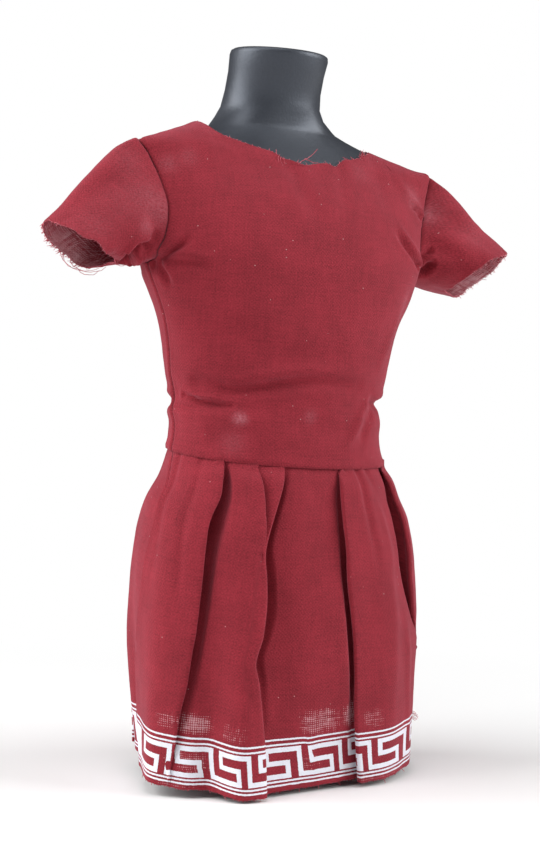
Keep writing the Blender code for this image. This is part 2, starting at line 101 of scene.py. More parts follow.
plastic = bpy.data.materials.new("black moulded plastic")
plastic.use_nodes = True
plastic_shader = plastic.node_tree.nodes["Principled BSDF"]
place = add_node(plastic, "ShaderNodeTexCoord").outputs["Object"]
grain = add_node(plastic, "ShaderNodeTexNoise",
                 {"Vector": place, "Scale": 1 / (PLASTIC_GRAIN * MM), "Detail": 3.0})
cloudy = add_node(plastic, "ShaderNodeTexNoise",
                  {"Vector": place, "Scale": 1 / (PLASTIC_CLOUD * MM), "Detail": 4.0,
                   "Roughness": 0.6})
rough = add_node(plastic, "ShaderNodeMapRange",
                 {"Value": cloudy.outputs[0], 1: 0.3, 2: 0.7, 3: 0.38, 4: 0.50})
tone = add_node(plastic, "ShaderNodeMix",
                {"Factor": grain.outputs[0], "A": linear(PLASTIC_DARK), "B": linear(PLASTIC_LIGHT)},
                data_type="RGBA")
relief = add_node(plastic, "ShaderNodeBump", {"Height": grain.outputs[0], "Strength": 0.7,
                                              "Distance": PLASTIC_RELIEF * MM})
for socket, output in (("Base Color", tone.outputs["Result"]), ("Roughness", rough.outputs[0]),
                       ("Normal", relief.outputs[0])):
    plastic.node_tree.links.new(output, plastic_shader.inputs[socket])
plastic_shader.inputs["IOR"].default_value = 1.72
plastic_shader.inputs["Specular Tint"].default_value = linear(PLASTIC_SHINE)
for name in ("form_pole", "form_foot"):
    form_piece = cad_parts[name]
    form_piece.data.materials.clear()
    form_piece.data.materials.append(plastic)
# The torso is a copy of its solid, merged so that its facets are shaded smooth.
torso_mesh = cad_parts["form_torso"].data.copy()
torso_mesh.name = "form_body"
torso = bpy.data.objects.new("form_body", torso_mesh)
bpy.context.collection.objects.link(torso)
torso.select_set(True)
bpy.context.view_layer.objects.active = torso
bpy.ops.object.mode_set(mode="EDIT")
bpy.ops.mesh.select_all(action="SELECT")
bpy.ops.mesh.remove_doubles(threshold=0.001 * MM)
bpy.ops.object.mode_set(mode="OBJECT")
bpy.ops.object.shade_smooth_by_angle(angle=math.radians(60.0))
torso_mesh.materials.clear()
torso_mesh.materials.append(plastic)
bpy.ops.object.select_all(action="DESELECT")
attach(torso, "root")
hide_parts("form_torso")

# Bodice: a front and a back of dark red cotton, joined at the shoulders and sides, with a raw
# neckline. The cloth hangs from the shoulders and creases towards the waist and the armpits.
CLOTH = 0.28           # thickness of the cotton; the solids are thicker
SOLID_CLOTH = 1.0      # wall of the solids, whose outer face the cloth follows
WAIST_Z = 64.9
ARMPIT_Z = 102.2
FRONT_SAG = 0.14       # how far the waist and the hem hang lower for each mm further forward
WAIST_LEAN = 0.035     # how far the waist hangs lower for each mm further to the wearer's left
SEAM_GAP = 0.06        # between a front and a back at their side seams
SIDE_TO_SIDE = 168     # steps of the grid across the bodice
ROWS_TO_ARMPIT = 75
ROWS_OF_ARMHOLE = 60


def table(columns, *rows):
    """A table of rows as named columns; the first column is what it is read by."""
    return {name: np.array([row[k] for row in rows], float)
            for k, name in enumerate(columns.split())}


BODY = table(
    "z half_width ridge_y front_y back_y squareness",
    (58.0, 23.9, 0.0, -15.9, 15.9, 2.1),
    (64.9, 23.5, 0.0, -15.4, 15.5, 2.1),
    (67.6, 22.9, 0.2, -15.2, 15.4, 2.1),
    (70.5, 22.7, 0.4, -15.0, 15.3, 2.1),
    (73.6, 23.1, 0.6, -14.9, 15.4, 2.1),
    (75.6, 22.6, 0.7, -14.9, 15.4, 2.1),
    (80.5, 23.7, 0.3, -15.6, 16.0, 2.1),
    (86.5, 24.7, -0.7, -16.3, 16.6, 2.15),
    (92.5, 26.3, -1.8, -17.0, 17.2, 2.15),
    (98.9, 29.1, -2.5, -17.4, 17.8, 2.15),
    (104.0, 30.9, -2.1, -17.2, 18.0, 2.2),
    (109.5, 32.1, -1.4, -16.0, 18.0, 2.2),
    (115.0, 33.0, -1.2, -13.9, 17.6, 2.1),
    (119.5, 33.4, -2.0, -11.3, 17.0, 2.0),
    (122.5, 33.5, -2.6, -9.4, 16.5, 2.0),
    (125.0, 32.9, -3.0, -8.0, 16.2, 2.0),
    (127.0, 28.6, -1.8, -6.9, 16.0, 2.0),
    (129.0, 23.4, -0.4, -5.9, 16.0, 2.0),
    (131.0, 18.8, 1.2, -5.0, 16.0, 2.0),
    (133.0, 15.0, 3.2, -4.4, 15.8, 2.0),
)
ARMHOLE = table(
    "angle z right left",
    (0.0, 125.2, 0.0, 0.0), (30.0, 122.6, 2.0, 0.7), (60.0, 118.2, 3.6, 1.5),
    (90.0, 113.2, 4.0, 2.5), (120.0, 108.2, 2.9, 2.7), (150.0, 104.2, 1.2, 1.2),
    (180.0, ARMPIT_Z, 0.0, 0.0),
)
NECKLINES = {
    "front": table(
        "x z",
        (-19.0, 131.0), (-18.1, 130.2), (-16.5, 128.75), (-13.3, 127.35), (-10.55, 126.5),
        (-7.9, 125.85), (-6.05, 125.4), (-4.15, 124.2), (-2.0, 123.85), (-0.2, 123.0),
        (1.35, 122.92), (2.9, 123.35), (6.05, 123.75), (8.3, 123.4), (9.75, 124.7),
        (12.15, 125.5), (14.65, 126.35), (16.45, 127.5), (18.7, 129.1), (21.0, 130.2)),
    "back": table(
        "x z",
        (-19.0, 131.0), (-16.6, 130.2), (-14.5, 129.8), (-12.2, 129.6), (-9.3, 129.1),
        (-6.6, 129.1), (-4.5, 128.7), (-2.0, 128.8), (0.5, 128.5), (3.1, 128.8), (5.5, 128.7),
        (7.9, 129.1), (10.0, 129.0), (12.6, 129.4), (15.0, 129.5), (21.0, 130.2)),
}
# How far the shoulders lie above or below their plain slope, by their place across the body.
SHOULDER_LIFT = table(
    "x lift", (-33.5, 0.7), (-28.0, 0.6), (-22.0, 0.7), (-19.6, 0.7), (-17.5, 0.1), (-12.0, 0.0),
    (15.0, 0.0), (16.5, -0.3), (18.5, -1.0), (21.0, -0.9), (24.0, -0.8), (27.0, -0.7),
    (30.0, -0.5), (33.5, 0.5))
RIDGE_SHARE = 4 / 24       # of half the width at the top, the part that lies on a shoulder seam

# A crease runs through points of the elevation. It is pressed in by depth, or stands out where
# depth is negative, with a rounded ridge above it, and fades to the given shares at its ends.
Crease = namedtuple("Crease", "points depth width ridge start end")
CREASES = {
    "front": (
        Crease(((-21.2, 79.3), (-18.4, 78.7), (-15.2, 77.8), (-10.0, 78.6), (-0.7, 80.0),
                (10.9, 79.2)), 1.5, 1.25, 0.55, 0.3, 0.2),
        Crease(((-22.1, 76.7), (-21.5, 76.3), (-20.3, 75.6), (-18.1, 75.2), (-15.6, 74.8)),
               1.3, 0.60, 0.85, 0.3, 0.4),
        Crease(((-23.0, 74.6), (-21.4, 74.4), (-19.5, 74.3), (-16.2, 73.9)),
               0.6, 0.7, 0.3, 0.6, 0.0),
        Crease(((-20.0, 70.6), (-15.0, 72.2), (-9.0, 71.4)), -0.4, 2.0, 0.0, 0.8, 0.1),
        Crease(((22.2, 76.6), (20.0, 75.8), (17.8, 75.6), (14.5, 76.8)),
               1.4, 1.1, 0.4, 1.0, 0.0),
        Crease(((13.8, 75.6), (11.3, 71.2), (8.9, 67.5)), -0.8, 1.1, 0.0, 0.6, 0.4),
        Crease(((16.2, 73.8), (14.2, 70.6), (12.6, 67.4)), 0.6, 1.1, 0.0, 0.8, 0.3),
        Crease(((20.0, 111.3), (22.8, 108.5), (25.3, 106.6), (27.9, 104.9)),
               1.1, 0.9, 0.55, 0.1, 1.0),
        Crease(((24.5, 122.5), (26.0, 119.9), (28.5, 117.1)), -0.45, 1.2, 0.0, 0.4, 0.4),
        Crease(((26.0, 118.2), (28.2, 116.9), (29.9, 115.5)), 0.8, 0.8, 0.3, 0.0, 1.0),
        Crease(((21.0, 92.0), (18.8, 87.6), (17.3, 83.5)), -0.4, 1.6, 0.0, 0.6, 0.3),
        Crease(((25.6, 98.4), (24.4, 94.0), (23.0, 88.0)), 0.6, 2.4, 0.0, 0.8, 0.3),
        Crease(((-30.3, 102.4), (-29.2, 103.2), (-28.3, 104.0), (-25.0, 106.6)),
               1.4, 0.85, 0.5, 1.0, 0.0),
        Crease(((-30.1, 101.4), (-29.2, 100.8), (-28.3, 99.3), (-27.2, 97.2)),
               1.15, 0.9, 0.45, 1.0, 0.0),
        Crease(((-29.6, 102.2), (-25.6, 101.8), (-21.0, 101.0)), 0.8, 0.9, 0.35, 1.0, 0.0),
        Crease(((-24.0, 92.0), (-16.0, 88.0), (-6.0, 86.0)), 0.3, 2.6, 0.25, 0.3, 0.1),
        Crease(((-13.0, 82.4), (2.0, 84.6), (14.0, 85.6)), 0.35, 2.2, 0.25, 0.1, 0.1),
        Crease(((-8.0, 71.8), (2.0, 70.6), (9.0, 70.2)), 0.3, 1.8, 0.15, 0.2, 0.1),
        Crease(((-3.0, 122.6), (-1.5, 117.0), (1.0, 110.0)), 0.3, 1.8, 0.15, 1.0, 0.0),
        Crease(((9.0, 123.4), (8.0, 118.0), (6.6, 113.0)), 0.25, 1.6, 0.15, 1.0, 0.0),
    ),
    "back": (
        Crease(((22.4, 76.0), (16.0, 75.0), (6.0, 78.6)), 1.2, 1.4, 0.45, 1.0, 0.0),
        Crease(((-22.4, 75.4), (-17.0, 76.2), (-9.0, 74.6)), 1.1, 1.2, 0.4, 1.0, 0.1),
        Crease(((-16.0, 80.5), (-4.0, 82.6), (12.0, 81.2)), 0.9, 1.6, 0.4, 0.1, 0.2),
        Crease(((-20.0, 70.0), (-16.0, 70.6), (-11.0, 69.4)), -0.4, 2.2, 0.0, 0.9, 0.1),
        Crease(((20.0, 69.6), (17.0, 70.4), (13.0, 68.6)), -0.4, 2.2, 0.0, 0.9, 0.1),
        Crease(((-29.6, 103.0), (-25.0, 100.8), (-17.0, 97.4)), 0.8, 1.5, 0.4, 1.0, 0.0),
        Crease(((29.6, 103.4), (25.0, 100.2), (15.0, 96.0)), 0.9, 1.4, 0.4, 1.0, 0.0),
        Crease(((-12.0, 124.4), (-5.0, 121.6), (6.0, 122.0)), 0.4, 1.8, 0.25, 0.2, 0.1),
    ),
}


def read(rows, column, x):
    """A column of a table at x, on a smooth curve through its rows."""
    xs, ys = next(iter(rows.values())), rows[column]
    x = np.clip(x, xs[0], xs[-1])
    i = np.clip(np.searchsorted(xs, x) - 1, 0, len(xs) - 2)
    slopes = np.diff(ys) / np.diff(xs)
    slopes = np.concatenate((slopes[:1], 0.5 * (slopes[:-1] + slopes[1:]), slopes[-1:]))
    span = xs[i + 1] - xs[i]
    s = (x - xs[i]) / span
    return ((2 * s ** 3 - 3 * s ** 2 + 1) * ys[i] + (s ** 3 - 2 * s ** 2 + s) * span * slopes[i]
            + (3 * s ** 2 - 2 * s ** 3) * ys[i + 1] + (s ** 3 - s ** 2) * span * slopes[i + 1])


def on_body(x, z, body_side):
    """Points of the cloth's outer face at places of the front or back elevation."""
    half_width, ridge = read(BODY, "half_width", z), read(BODY, "ridge_y", z)
    squareness = read(BODY, "squareness", z)
    x = np.clip(x, -half_width, half_width)
    bulge = np.clip(1.0 - (np.abs(x) / half_width) ** squareness, 0.0, 1.0) ** (1.0 / squareness)
    y = (read(BODY, body_side + "_y", z) - ridge) * bulge + ridge
    away = -SEAM_GAP / 2 if body_side == "front" else SEAM_GAP / 2
    return np.stack((x, y + away, z + 0.0 * x), -1)


def armhole(angle, side):
    """Elevation of the armhole's edge from the shoulder tip, 0, to the armpit, 180."""
    z = read(ARMHOLE, "z", angle)
    inset = read(ARMHOLE, "left" if side > 0 else "right", angle)
    return side * (read(BODY, "half_width", z) - inset), z


def top_edge(u, body_side):
    """Elevation of the upper edge: shoulder seam, neckline, shoulder seam; u from -1 to 1."""
    line = NECKLINES[body_side]
    side, inner = np.where(u < 0, -1.0, 1.0), 1.0 - 2.0 * RIDGE_SHARE
    share = np.clip((np.abs(u) - inner) / (1.0 - inner), 0.0, 1.0)
    neck_z = np.where(u < 0, line["z"][0], line["z"][-1])
    shoulder_z = neck_z + (ARMHOLE["z"][0] - neck_z) * share
    across = (np.sin(np.radians(90.0 * np.clip(u / inner, -1.0, 1.0))) + 1.0) / 2.0
    neck_x = line["x"][0] + (line["x"][-1] - line["x"][0]) * across
    on_shoulder = np.abs(u) >= inner
    return (np.where(on_shoulder, side * read(BODY, "half_width", shoulder_z), neck_x),
            np.where(on_shoulder, shoulder_z, read(line, "z", neck_x)))


def finer_ends(count, gain):
    """Shares from 0 to 1 that lie closer at both ends."""
    t = np.linspace(0.0, 1.0, count + 1)
    return np.clip(t - gain * np.sin(2.0 * np.pi * t) / (2.0 * np.pi), 0.0, 1.0)


def armhole_shares():
    """Shares of the way down the armhole, for the rows of the bodice above the armpit."""
    return (1.0 - finer_ends(ROWS_OF_ARMHOLE, 0.3)) ** 1.2


def bodice_columns():
    """Places across the bodice, from -1 to 1, closer at both sides."""
    return 2.0 * finer_ends(SIDE_TO_SIDE, 0.55) - 1.0


def bodice_grid(body_side):
    """Outer face of the bodice's front or back without its creases, from waist to shoulders."""
    us = bodice_columns()
    if body_side == "back":
        us = us[::-1]
    rows = []
    for share in 2.0 * finer_ends(2 * ROWS_TO_ARMPIT, 0.5)[:ROWS_TO_ARMPIT + 1]:
        bottom = WAIST_Z + SEAM_GAP / 2
        z = bottom + (ARMPIT_Z - bottom) * share
        half_width = read(BODY, "half_width", z)
        row = on_body(half_width * np.sin(np.radians(90.0 * us)), z + 0.0 * us, body_side)
        row[:, 2] += (1.0 - share) * (FRONT_SAG * row[:, 1] - WAIST_LEAN * row[:, 0])
        row[:, 0] += 0.8 * np.clip((row[:, 0] - 12.0) / 11.0, 0.0, 1.0) * (1.0 - share) ** 8
        rows.append(row)
    half_width = read(BODY, "half_width", ARMPIT_Z)
    across = np.sin(np.radians(90.0 * us))
    for share in 1.0 - armhole_shares()[1:]:
        armholes = [armhole(180.0 * (1.0 - share), side) for side in (-1, 1)]
        armpits = [(side * half_width, ARMPIT_Z) for side in (-1, 1)]
        tips = [top_edge(np.array([side]), body_side) for side in (-1.0, 1.0)]
        low, high = (half_width * across, ARMPIT_Z + 0.0 * us), top_edge(us, body_side)
        s = ((1.0 - share) * across + share * us + 1.0) / 2.0
        x, z = ((1.0 - share) * (low[k] - (1.0 - s) * armpits[0][k] - s * armpits[1][k])
                + share * (high[k] - (1.0 - s) * tips[0][k] - s * tips[1][k])
                + (1.0 - s) * armholes[0][k] + s * armholes[1][k] for k in range(2))
        rows.append(on_body(x, z, body_side))
    grid = np.array(rows)
    high_up = np.clip((grid[..., 2] - 113.0) / 10.0, 0.0, 1.0)
    grid[..., 2] += high_up * read(SHOULDER_LIFT, "lift", grid[..., 0])
    grid[..., 0] += high_up * np.clip((grid[..., 0] - 22.0) / 11.0, 0.0, 1.0)
    return grid


def outward(grid, closed=False):
    """Unit normals of a grid of rows that run anticlockwise, from low to high."""
    if closed:
        along = np.roll(grid, -1, 1) - np.roll(grid, 1, 1)
    else:
        along = np.gradient(grid, axis=1)
    normals = np.cross(along, np.gradient(grid, axis=0))
    return normals / np.maximum(np.linalg.norm(normals, axis=2, keepdims=True), 1e-9)


def lengths(grid, axis):
    """Distance along the cloth from a grid's first row or column, at each of its points."""
    steps = np.linalg.norm(np.diff(grid, axis=axis), axis=2)
    start = np.zeros_like(np.take(steps, [0], axis=axis))
    return np.concatenate((start, np.cumsum(steps, axis=axis)), axis=axis)


def near_line(grid, line):
    """Distance from a line of points, share along it, and whether a point lies above it."""
    line = np.asarray(line, float)
    steps = np.linalg.norm(np.diff(line, axis=0), axis=1)
    run = np.concatenate(([0.0], np.cumsum(steps))) / steps.sum()
    best = np.full(grid.shape[:2], 1e9)
    share, above = np.zeros(grid.shape[:2]), np.zeros(grid.shape[:2])
    for k, (start, end) in enumerate(zip(line, line[1:])):
        s = np.clip(((grid - start) @ (end - start)) / steps[k] ** 2, 0.0, 1.0)
        away = grid - start - s[..., None] * (end - start)
        distance = np.linalg.norm(away, axis=2)
        closer = distance < best
        best = np.where(closer, distance, best)
        share = np.where(closer, run[k] + s * (run[k + 1] - run[k]), share)
        above = np.where(closer, np.tanh(away[..., 2] / 0.4), above)
    return best, np.clip(share, 0.0, 1.0), above


def creased(grid, creases, place_on):
    """How far creases move each point of the cloth outwards."""
    out = np.zeros(grid.shape[:2])
    for crease in creases:
        points = np.array(crease.points, float)
        fine = np.linspace(0, len(points) - 1, 4 * len(points) - 3)
        line = np.stack([read({"k": np.arange(len(points)), "v": points[:, axis]}, "v", fine)
                         for axis in range(points.shape[1])], -1)
        distance, share, above = near_line(grid, place_on(line))
        fade = np.clip(np.sin(np.pi * share), 0.0, 1.0) ** 0.7
        fade = np.maximum(fade, crease.start * (1.0 - share) ** 0.6 * (share < 0.5))
        fade = np.maximum(fade, crease.end * share ** 0.6 * (share >= 0.5))
        out -= crease.depth * fade * np.exp(-(distance / crease.width) ** 2)
        shift = distance - 1.7 * crease.width
        out += (crease.ridge * fade * (0.35 + 0.65 * (above > 0))
                * np.exp(-(shift / (0.9 * crease.width)) ** 2))
    return out


def lumps(grid, size, seed):
    """Smooth uneven lumps of the cloth, from -1 to 1."""
    offset = Vector((seed * 17.3, seed * 5.1, seed * 9.7))
    values = [noise.noise(Vector(point) / size + offset) for point in grid.reshape(-1, 3)]
    return np.array(values).reshape(grid.shape[:2])


def seam_roll(distance):
    """How far the cloth turns in towards a seam, and stands up beside it."""
    return (-0.30 * np.exp(-(distance / 0.35) ** 2) + 0.10 * np.exp(-((distance - 0.9) / 0.6) ** 2))


def cloth_piece(name, grid, cut, attributes, material, closed=False):
    """A sheet of cotton from its outer face, with its place in the cut as its UV map."""
    rows, columns = grid.shape[:2]
    index = np.arange(rows * columns).reshape(rows, columns)
    left, right = (index, np.roll(index, -1, 1)) if closed else (index[:, :-1], index[:, 1:])
    faces = np.stack((left[:-1], right[:-1], right[1:], left[1:]), -1).reshape(-1, 4)
    mesh = bpy.data.meshes.new(name)
    mesh.from_pydata((grid.reshape(-1, 3) * MM).tolist(), [], faces.tolist())
    corners = np.stack((cut[:-1, :-1], cut[:-1, 1:], cut[1:, 1:], cut[1:, :-1]), -2)
    mesh.uv_layers.new(name="cut").data.foreach_set("uv", corners.reshape(-1).astype(np.float32))
    for key, values in attributes.items():
        mesh.attributes.new(key, "FLOAT", "POINT").data.foreach_set(
            "value", np.ascontiguousarray(values, np.float32).reshape(-1))
    mesh.materials.append(material)
    piece = bpy.data.objects.new(name, mesh)
    bpy.context.collection.objects.link(piece)
    bpy.ops.object.select_all(action="DESELECT")
    piece.select_set(True)
    bpy.context.view_layer.objects.active = piece
    thickness = piece.modifiers.new("thickness", "SOLIDIFY")
    thickness.thickness = CLOTH * MM
    thickness.offset = -1.0
    bpy.ops.object.modifier_apply(modifier="thickness")
    bpy.ops.object.shade_smooth_by_angle(angle=math.radians(60.0))
    bpy.ops.object.select_all(action="DESELECT")
    return piece


# The cotton's look: a plain weave of uneven yarns, dull and slightly hairy, so that its edges
# catch a paler, pinkish light. Its dye is mottled, rubbed places are chalky, seams show as a row of
# small dark stitches, and in loosely woven places pale squares between the yarns are painted light,
# for a bright ground that shows through gaps.
CLOTH_LIGHT = "#A72F3D"
CLOTH_DARK = "#66161F"
CHALK = "#DE96A2"
LINT = "#D8B4B4"
STITCH_SHADE = "#420F16"
# Painted light: the pale ground seen through gaps in the open weave.
LIGHT_THROUGH_WEAVE = "#D9AFB5"
SHEEN_TINT = "#E192A4"
YARN_SPACING = 0.36
YARN_WANDER = 1.7          # length over which a yarn wanders
SLUBS = ((0.42, 6.0), (5.0, 0.42))  # thick places of the two yarns: across and along the cut
GRAIN = 0.30
MOTTLE = 7.0
RUBBED_GRAIN = 0.5
LINT_SPACING = 1.6
STITCH = 0.62              # length of a stitch with its gap
STITCH_REACH = 0.24        # how far a stitch marks the cloth beside it
OPEN_SPACING = 0.43        # from hole to hole in the open weave
OPEN_PATCH = 0.9           # size of the uneven patches of the open weave
COTTON_RELIEF = 0.10       # depth of the weave's relief


def seam_line(distance):
    """How strongly a seam's stitches mark the cloth at a distance from it."""
    return np.exp(-(distance / STITCH_REACH) ** 2)


def calculated(material, operation, *values):
    """The result of a maths node on values that are numbers or other nodes' outputs."""
    return add_node(material, "ShaderNodeMath", dict(enumerate(values)),
                    operation=operation).outputs[0]


def weighted(material, parts):
    """The sum of outputs by their weights."""
    total = None
    for value, weight in parts:
        part = calculated(material, "MULTIPLY", value, weight)
        total = calculated(material, "ADD", part, total) if total else part
    return total


def woven_cotton(name, printed=None):
    """Plain-woven cotton that reads its place in the cut, in millimetres, from the UV map."""
    cotton = bpy.data.materials.new(name)
    cotton.use_nodes = True
    cut = add_node(cotton, "ShaderNodeUVMap", uv_map="cut").outputs[0]
    # The yarns wander a little, so the weave shows no even pattern.
    wander = add_node(cotton, "ShaderNodeTexNoise", {"Vector": cut, "Scale": 1 / YARN_WANDER,
                                                     "Detail": 2.0})
    wander = add_node(cotton, "ShaderNodeVectorMath", {0: wander.outputs["Color"],
                                                       1: (0.9, 0.9, 0.0), 2: cut},
                      operation="MULTIPLY_ADD").outputs[0]
    axes = add_node(cotton, "ShaderNodeSeparateXYZ", {0: wander})
    yarns = []
    for axis in (0, 1):
        turn = calculated(cotton, "MULTIPLY", axes.outputs[axis], math.pi / YARN_SPACING)
        yarns.append(calculated(cotton, "SINE", turn))
    weave = calculated(cotton, "MULTIPLY", *yarns)
    slubs = []
    for across, along in SLUBS:
        stretched = add_node(cotton, "ShaderNodeMapping",
                             {"Vector": cut, "Scale": (1 / across, 1 / along, 1.0)})
        slubs.append(add_node(cotton, "ShaderNodeTexNoise", {"Vector": stretched.outputs[0],
                                                             "Scale": 1.0, "Detail": 2.0}))
    grain = add_node(cotton, "ShaderNodeTexNoise", {"Vector": cut, "Scale": 1 / GRAIN,
                                                    "Detail": 2.0})
    mottle = add_node(cotton, "ShaderNodeTexNoise", {"Vector": cut, "Scale": 1 / MOTTLE,
                                                     "Detail": 4.0, "Roughness": 0.62})
    shade = weighted(cotton, ((slubs[0].outputs[0], 0.45), (slubs[1].outputs[0], 0.45),
                              (grain.outputs[0], 1.2), (mottle.outputs[0], 0.7), (weave, 0.12)))
    blend = add_node(cotton, "ShaderNodeMapRange", {"Value": shade, 1: 0.82, 2: 1.98})
    colour = add_node(cotton, "ShaderNodeMix", {"Factor": blend.outputs[0],
                                                "A": linear(CLOTH_DARK),
                                                "B": linear(CLOTH_LIGHT)},
                      data_type="RGBA").outputs["Result"]
    rub = add_node(cotton, "ShaderNodeAttribute", attribute_name="chalk")
    patchy = add_node(cotton, "ShaderNodeTexNoise", {"Vector": cut, "Scale": 1 / RUBBED_GRAIN,
                                                     "Detail": 5.0, "Roughness": 0.7})
    patchy = add_node(cotton, "ShaderNodeMapRange", {"Value": patchy.outputs[0], 1: 0.34, 2: 0.68,
                                                     3: 0.12, 4: 1.0})
    rubbed = calculated(cotton, "MULTIPLY", rub.outputs["Fac"], patchy.outputs[0])
    # Pale specks of lint lie here and there on the cloth.
    cells = add_node(cotton, "ShaderNodeTexVoronoi", {"Vector": cut, "Scale": 1 / LINT_SPACING})
    speck = calculated(cotton, "LESS_THAN", cells.outputs["Distance"], 0.07)
    chosen = add_node(cotton, "ShaderNodeSeparateXYZ", {0: cells.outputs["Color"]})
    chosen = calculated(cotton, "GREATER_THAN", chosen.outputs[0], 0.84)
    speck = calculated(cotton, "MULTIPLY", calculated(cotton, "MULTIPLY", speck, chosen), 0.55)
    # Stitches: dark marks along the seams, a stitch apart.
    seam = add_node(cotton, "ShaderNodeAttribute", attribute_name="seam")
    both = calculated(cotton, "ADD", axes.outputs[0], axes.outputs[1])
    beat = calculated(cotton, "SINE", calculated(cotton, "MULTIPLY", both, 2.0 * math.pi / STITCH))
    beat = add_node(cotton, "ShaderNodeMapRange", {"Value": beat, 1: -1.0, 2: 1.0,
                                                   3: 0.25, 4: 0.85})
    stitched = calculated(cotton, "MULTIPLY", seam.outputs["Fac"], beat.outputs[0])
    # Open weave: the cloth has no real holes, so small squares between the yarns are painted pale,
    # as painted light from a bright ground that shows through.
    sheer_backlight = add_node(cotton, "ShaderNodeAttribute", attribute_name="sheer_backlight")
    straight = add_node(cotton, "ShaderNodeVectorMath", {0: cut, 1: wander}, operation="SUBTRACT")
    straight = add_node(cotton, "ShaderNodeVectorMath", {0: straight.outputs[0],
                                                         1: (0.6, 0.6, 0.0), 2: wander},
                        operation="MULTIPLY_ADD")
    straight = add_node(cotton, "ShaderNodeSeparateXYZ", {0: straight.outputs[0]})
    gaps = []
    for axis in (0, 1):
        row = calculated(cotton, "MULTIPLY", straight.outputs[axis], math.pi / OPEN_SPACING)
        gaps.append(calculated(cotton, "ABSOLUTE", calculated(cotton, "SINE", row)))
    hole = calculated(cotton, "MULTIPLY", *gaps)
    uneven = add_node(cotton, "ShaderNodeTexNoise", {"Vector": cut, "Scale": 1 / OPEN_PATCH,
                                                     "Detail": 3.0})
    painted_light_through = weighted(cotton, ((hole, 0.8), (uneven.outputs[0], 1.0),
                                (slubs[0].outputs[0], 1.0), (slubs[1].outputs[0], 1.0),
                                (sheer_backlight.outputs["Fac"], 1.0)))
    painted_light_through = add_node(cotton, "ShaderNodeMapRange", {"Value": painted_light_through, 1: 2.52, 2: 2.85,
                                                      3: 0.0, 4: 0.60})
    open_here = add_node(cotton, "ShaderNodeMapRange", {"Value": sheer_backlight.outputs["Fac"], 1: 0.1,
                                                        2: 0.3})
    painted_light_through = calculated(cotton, "MULTIPLY", painted_light_through.outputs[0], open_here.outputs[0])
    for factor, tint in ((rubbed, CHALK), (speck, LINT), (stitched, STITCH_SHADE),
                         (painted_light_through, LIGHT_THROUGH_WEAVE)):
        colour = add_node(cotton, "ShaderNodeMix", {"Factor": factor, "A": colour,
                                                    "B": linear(tint)},
                          data_type="RGBA").outputs["Result"]
    height = weighted(cotton, ((weave, 0.22), (shade, 1.0)))
    if printed:
        colour, height = printed(cotton, cut, colour, height)
    relief = add_node(cotton, "ShaderNodeBump", {"Height": height, "Strength": 0.6,
                                                 "Distance": COTTON_RELIEF * MM})
    shader = cotton.node_tree.nodes["Principled BSDF"]
    cotton.node_tree.links.new(colour, shader.inputs["Base Color"])
    cotton.node_tree.links.new(relief.outputs[0], shader.inputs["Normal"])
    shader.inputs["Roughness"].default_value = 0.88
    shader.inputs["Specular IOR Level"].default_value = 0.25
    shader.inputs["Sheen Weight"].default_value = 0.36
    shader.inputs["Sheen Roughness"].default_value = 0.45
    shader.inputs["Sheen Tint"].default_value = linear(SHEEN_TINT)
    return cotton


cotton = woven_cotton("dark red plain-woven cotton")
# Chalky, rubbed places of the front, by place in the elevation, size and strength.
RUBBED_SPOTS = (
    ((-14.4, 72.3), 1.1, 0.46), ((-13.5, 72.0), 0.8, 0.2), ((-0.3, 72.9), 1.2, 0.20),
    ((-15.5, 67.6), 2.4, 0.12), ((-28.0, 121.0), 1.8, 0.16), ((-24.0, 122.6), 1.8, 0.12),
    ((27.4, 119.0), 2.2, 0.22), ((24.0, 97.0), 2.0, 0.12), ((14.0, 123.0), 2.4, 0.10))
bodice, armhole_edges, raw_edges = {}, {}, {}
for body_side in ("front", "back"):
    grid = bodice_grid(body_side)
    normals = outward(grid)
    out = creased(grid, CREASES[body_side],
                  lambda line: on_body(line[:, 0], line[:, 1], body_side))
    from_waist, along = lengths(grid, 0), lengths(grid, 1)
    from_top = from_waist[-1:] - from_waist
    sides = np.minimum(along, along[:, -1:] - along)
    shoulder = np.abs(bodice_columns()) >= 1.0 - 2.0 * RIDGE_SHARE
    above_armpit = grid[..., 2] > ARMPIT_Z
    out *= 1.0 - np.exp(-(sides / 0.9) ** 2) * (grid[..., 2] < ARMPIT_Z)
    out += seam_roll(sides) * np.where(above_armpit, 0.5, 0.9)
    out += 0.5 * seam_roll(from_waist)
    out += 0.14 * np.exp(-(from_waist / 1.2) ** 2) * lumps(grid, 1.4, 4)
    out += np.where(shoulder[None, :], 0.6 * seam_roll(from_top), 0.0)
    out += 0.10 * lumps(grid, 7.0, 1) + 0.05 * lumps(grid, 2.2, 2)
    edge = np.exp(-(from_top / 0.8) ** 2) * ~shoulder[None, :]
    out += 0.12 * edge * lumps(grid, 1.1, 3)
    shape = grid + out[..., None] * normals
    cut = np.stack((along - 0.5 * along[:, -1:] + 100.0, from_waist), -1)
    chalk = np.zeros(grid.shape[:2])
    if body_side == "front":
        for spot, size, amount in RUBBED_SPOTS:
            centre = on_body(np.array(spot[0]), np.array(spot[1]), "front")
            chalk += amount * np.exp(-(np.linalg.norm(grid - centre, axis=2) / size) ** 2)
    raw = np.where(~shoulder)[0]
    raw_edges["bodice_" + body_side] = shape[-1, raw], shape[-3, raw], normals[-1, raw]
    first_at = 0 if body_side == "front" else -1
    armhole_edges[body_side] = {-1: shape[ROWS_TO_ARMPIT:, first_at],
                                1: shape[ROWS_TO_ARMPIT:, -1 - first_at]}
    to_seam = np.minimum(sides, np.where(shoulder[None, :], from_top, 9.0))
    seams = np.maximum(np.where(above_armpit, 0.5, 1.0) * seam_line(to_seam),
                       0.5 * seam_line(from_waist))
    bodice[body_side] = cloth_piece(
        "bodice_" + body_side, shape, cut,
        {"chalk": chalk, "seam": seams, "sheer_backlight": np.zeros(grid.shape[:2])}, cotton)
    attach(bodice[body_side], "root")
    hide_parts("tunic_" + body_side)
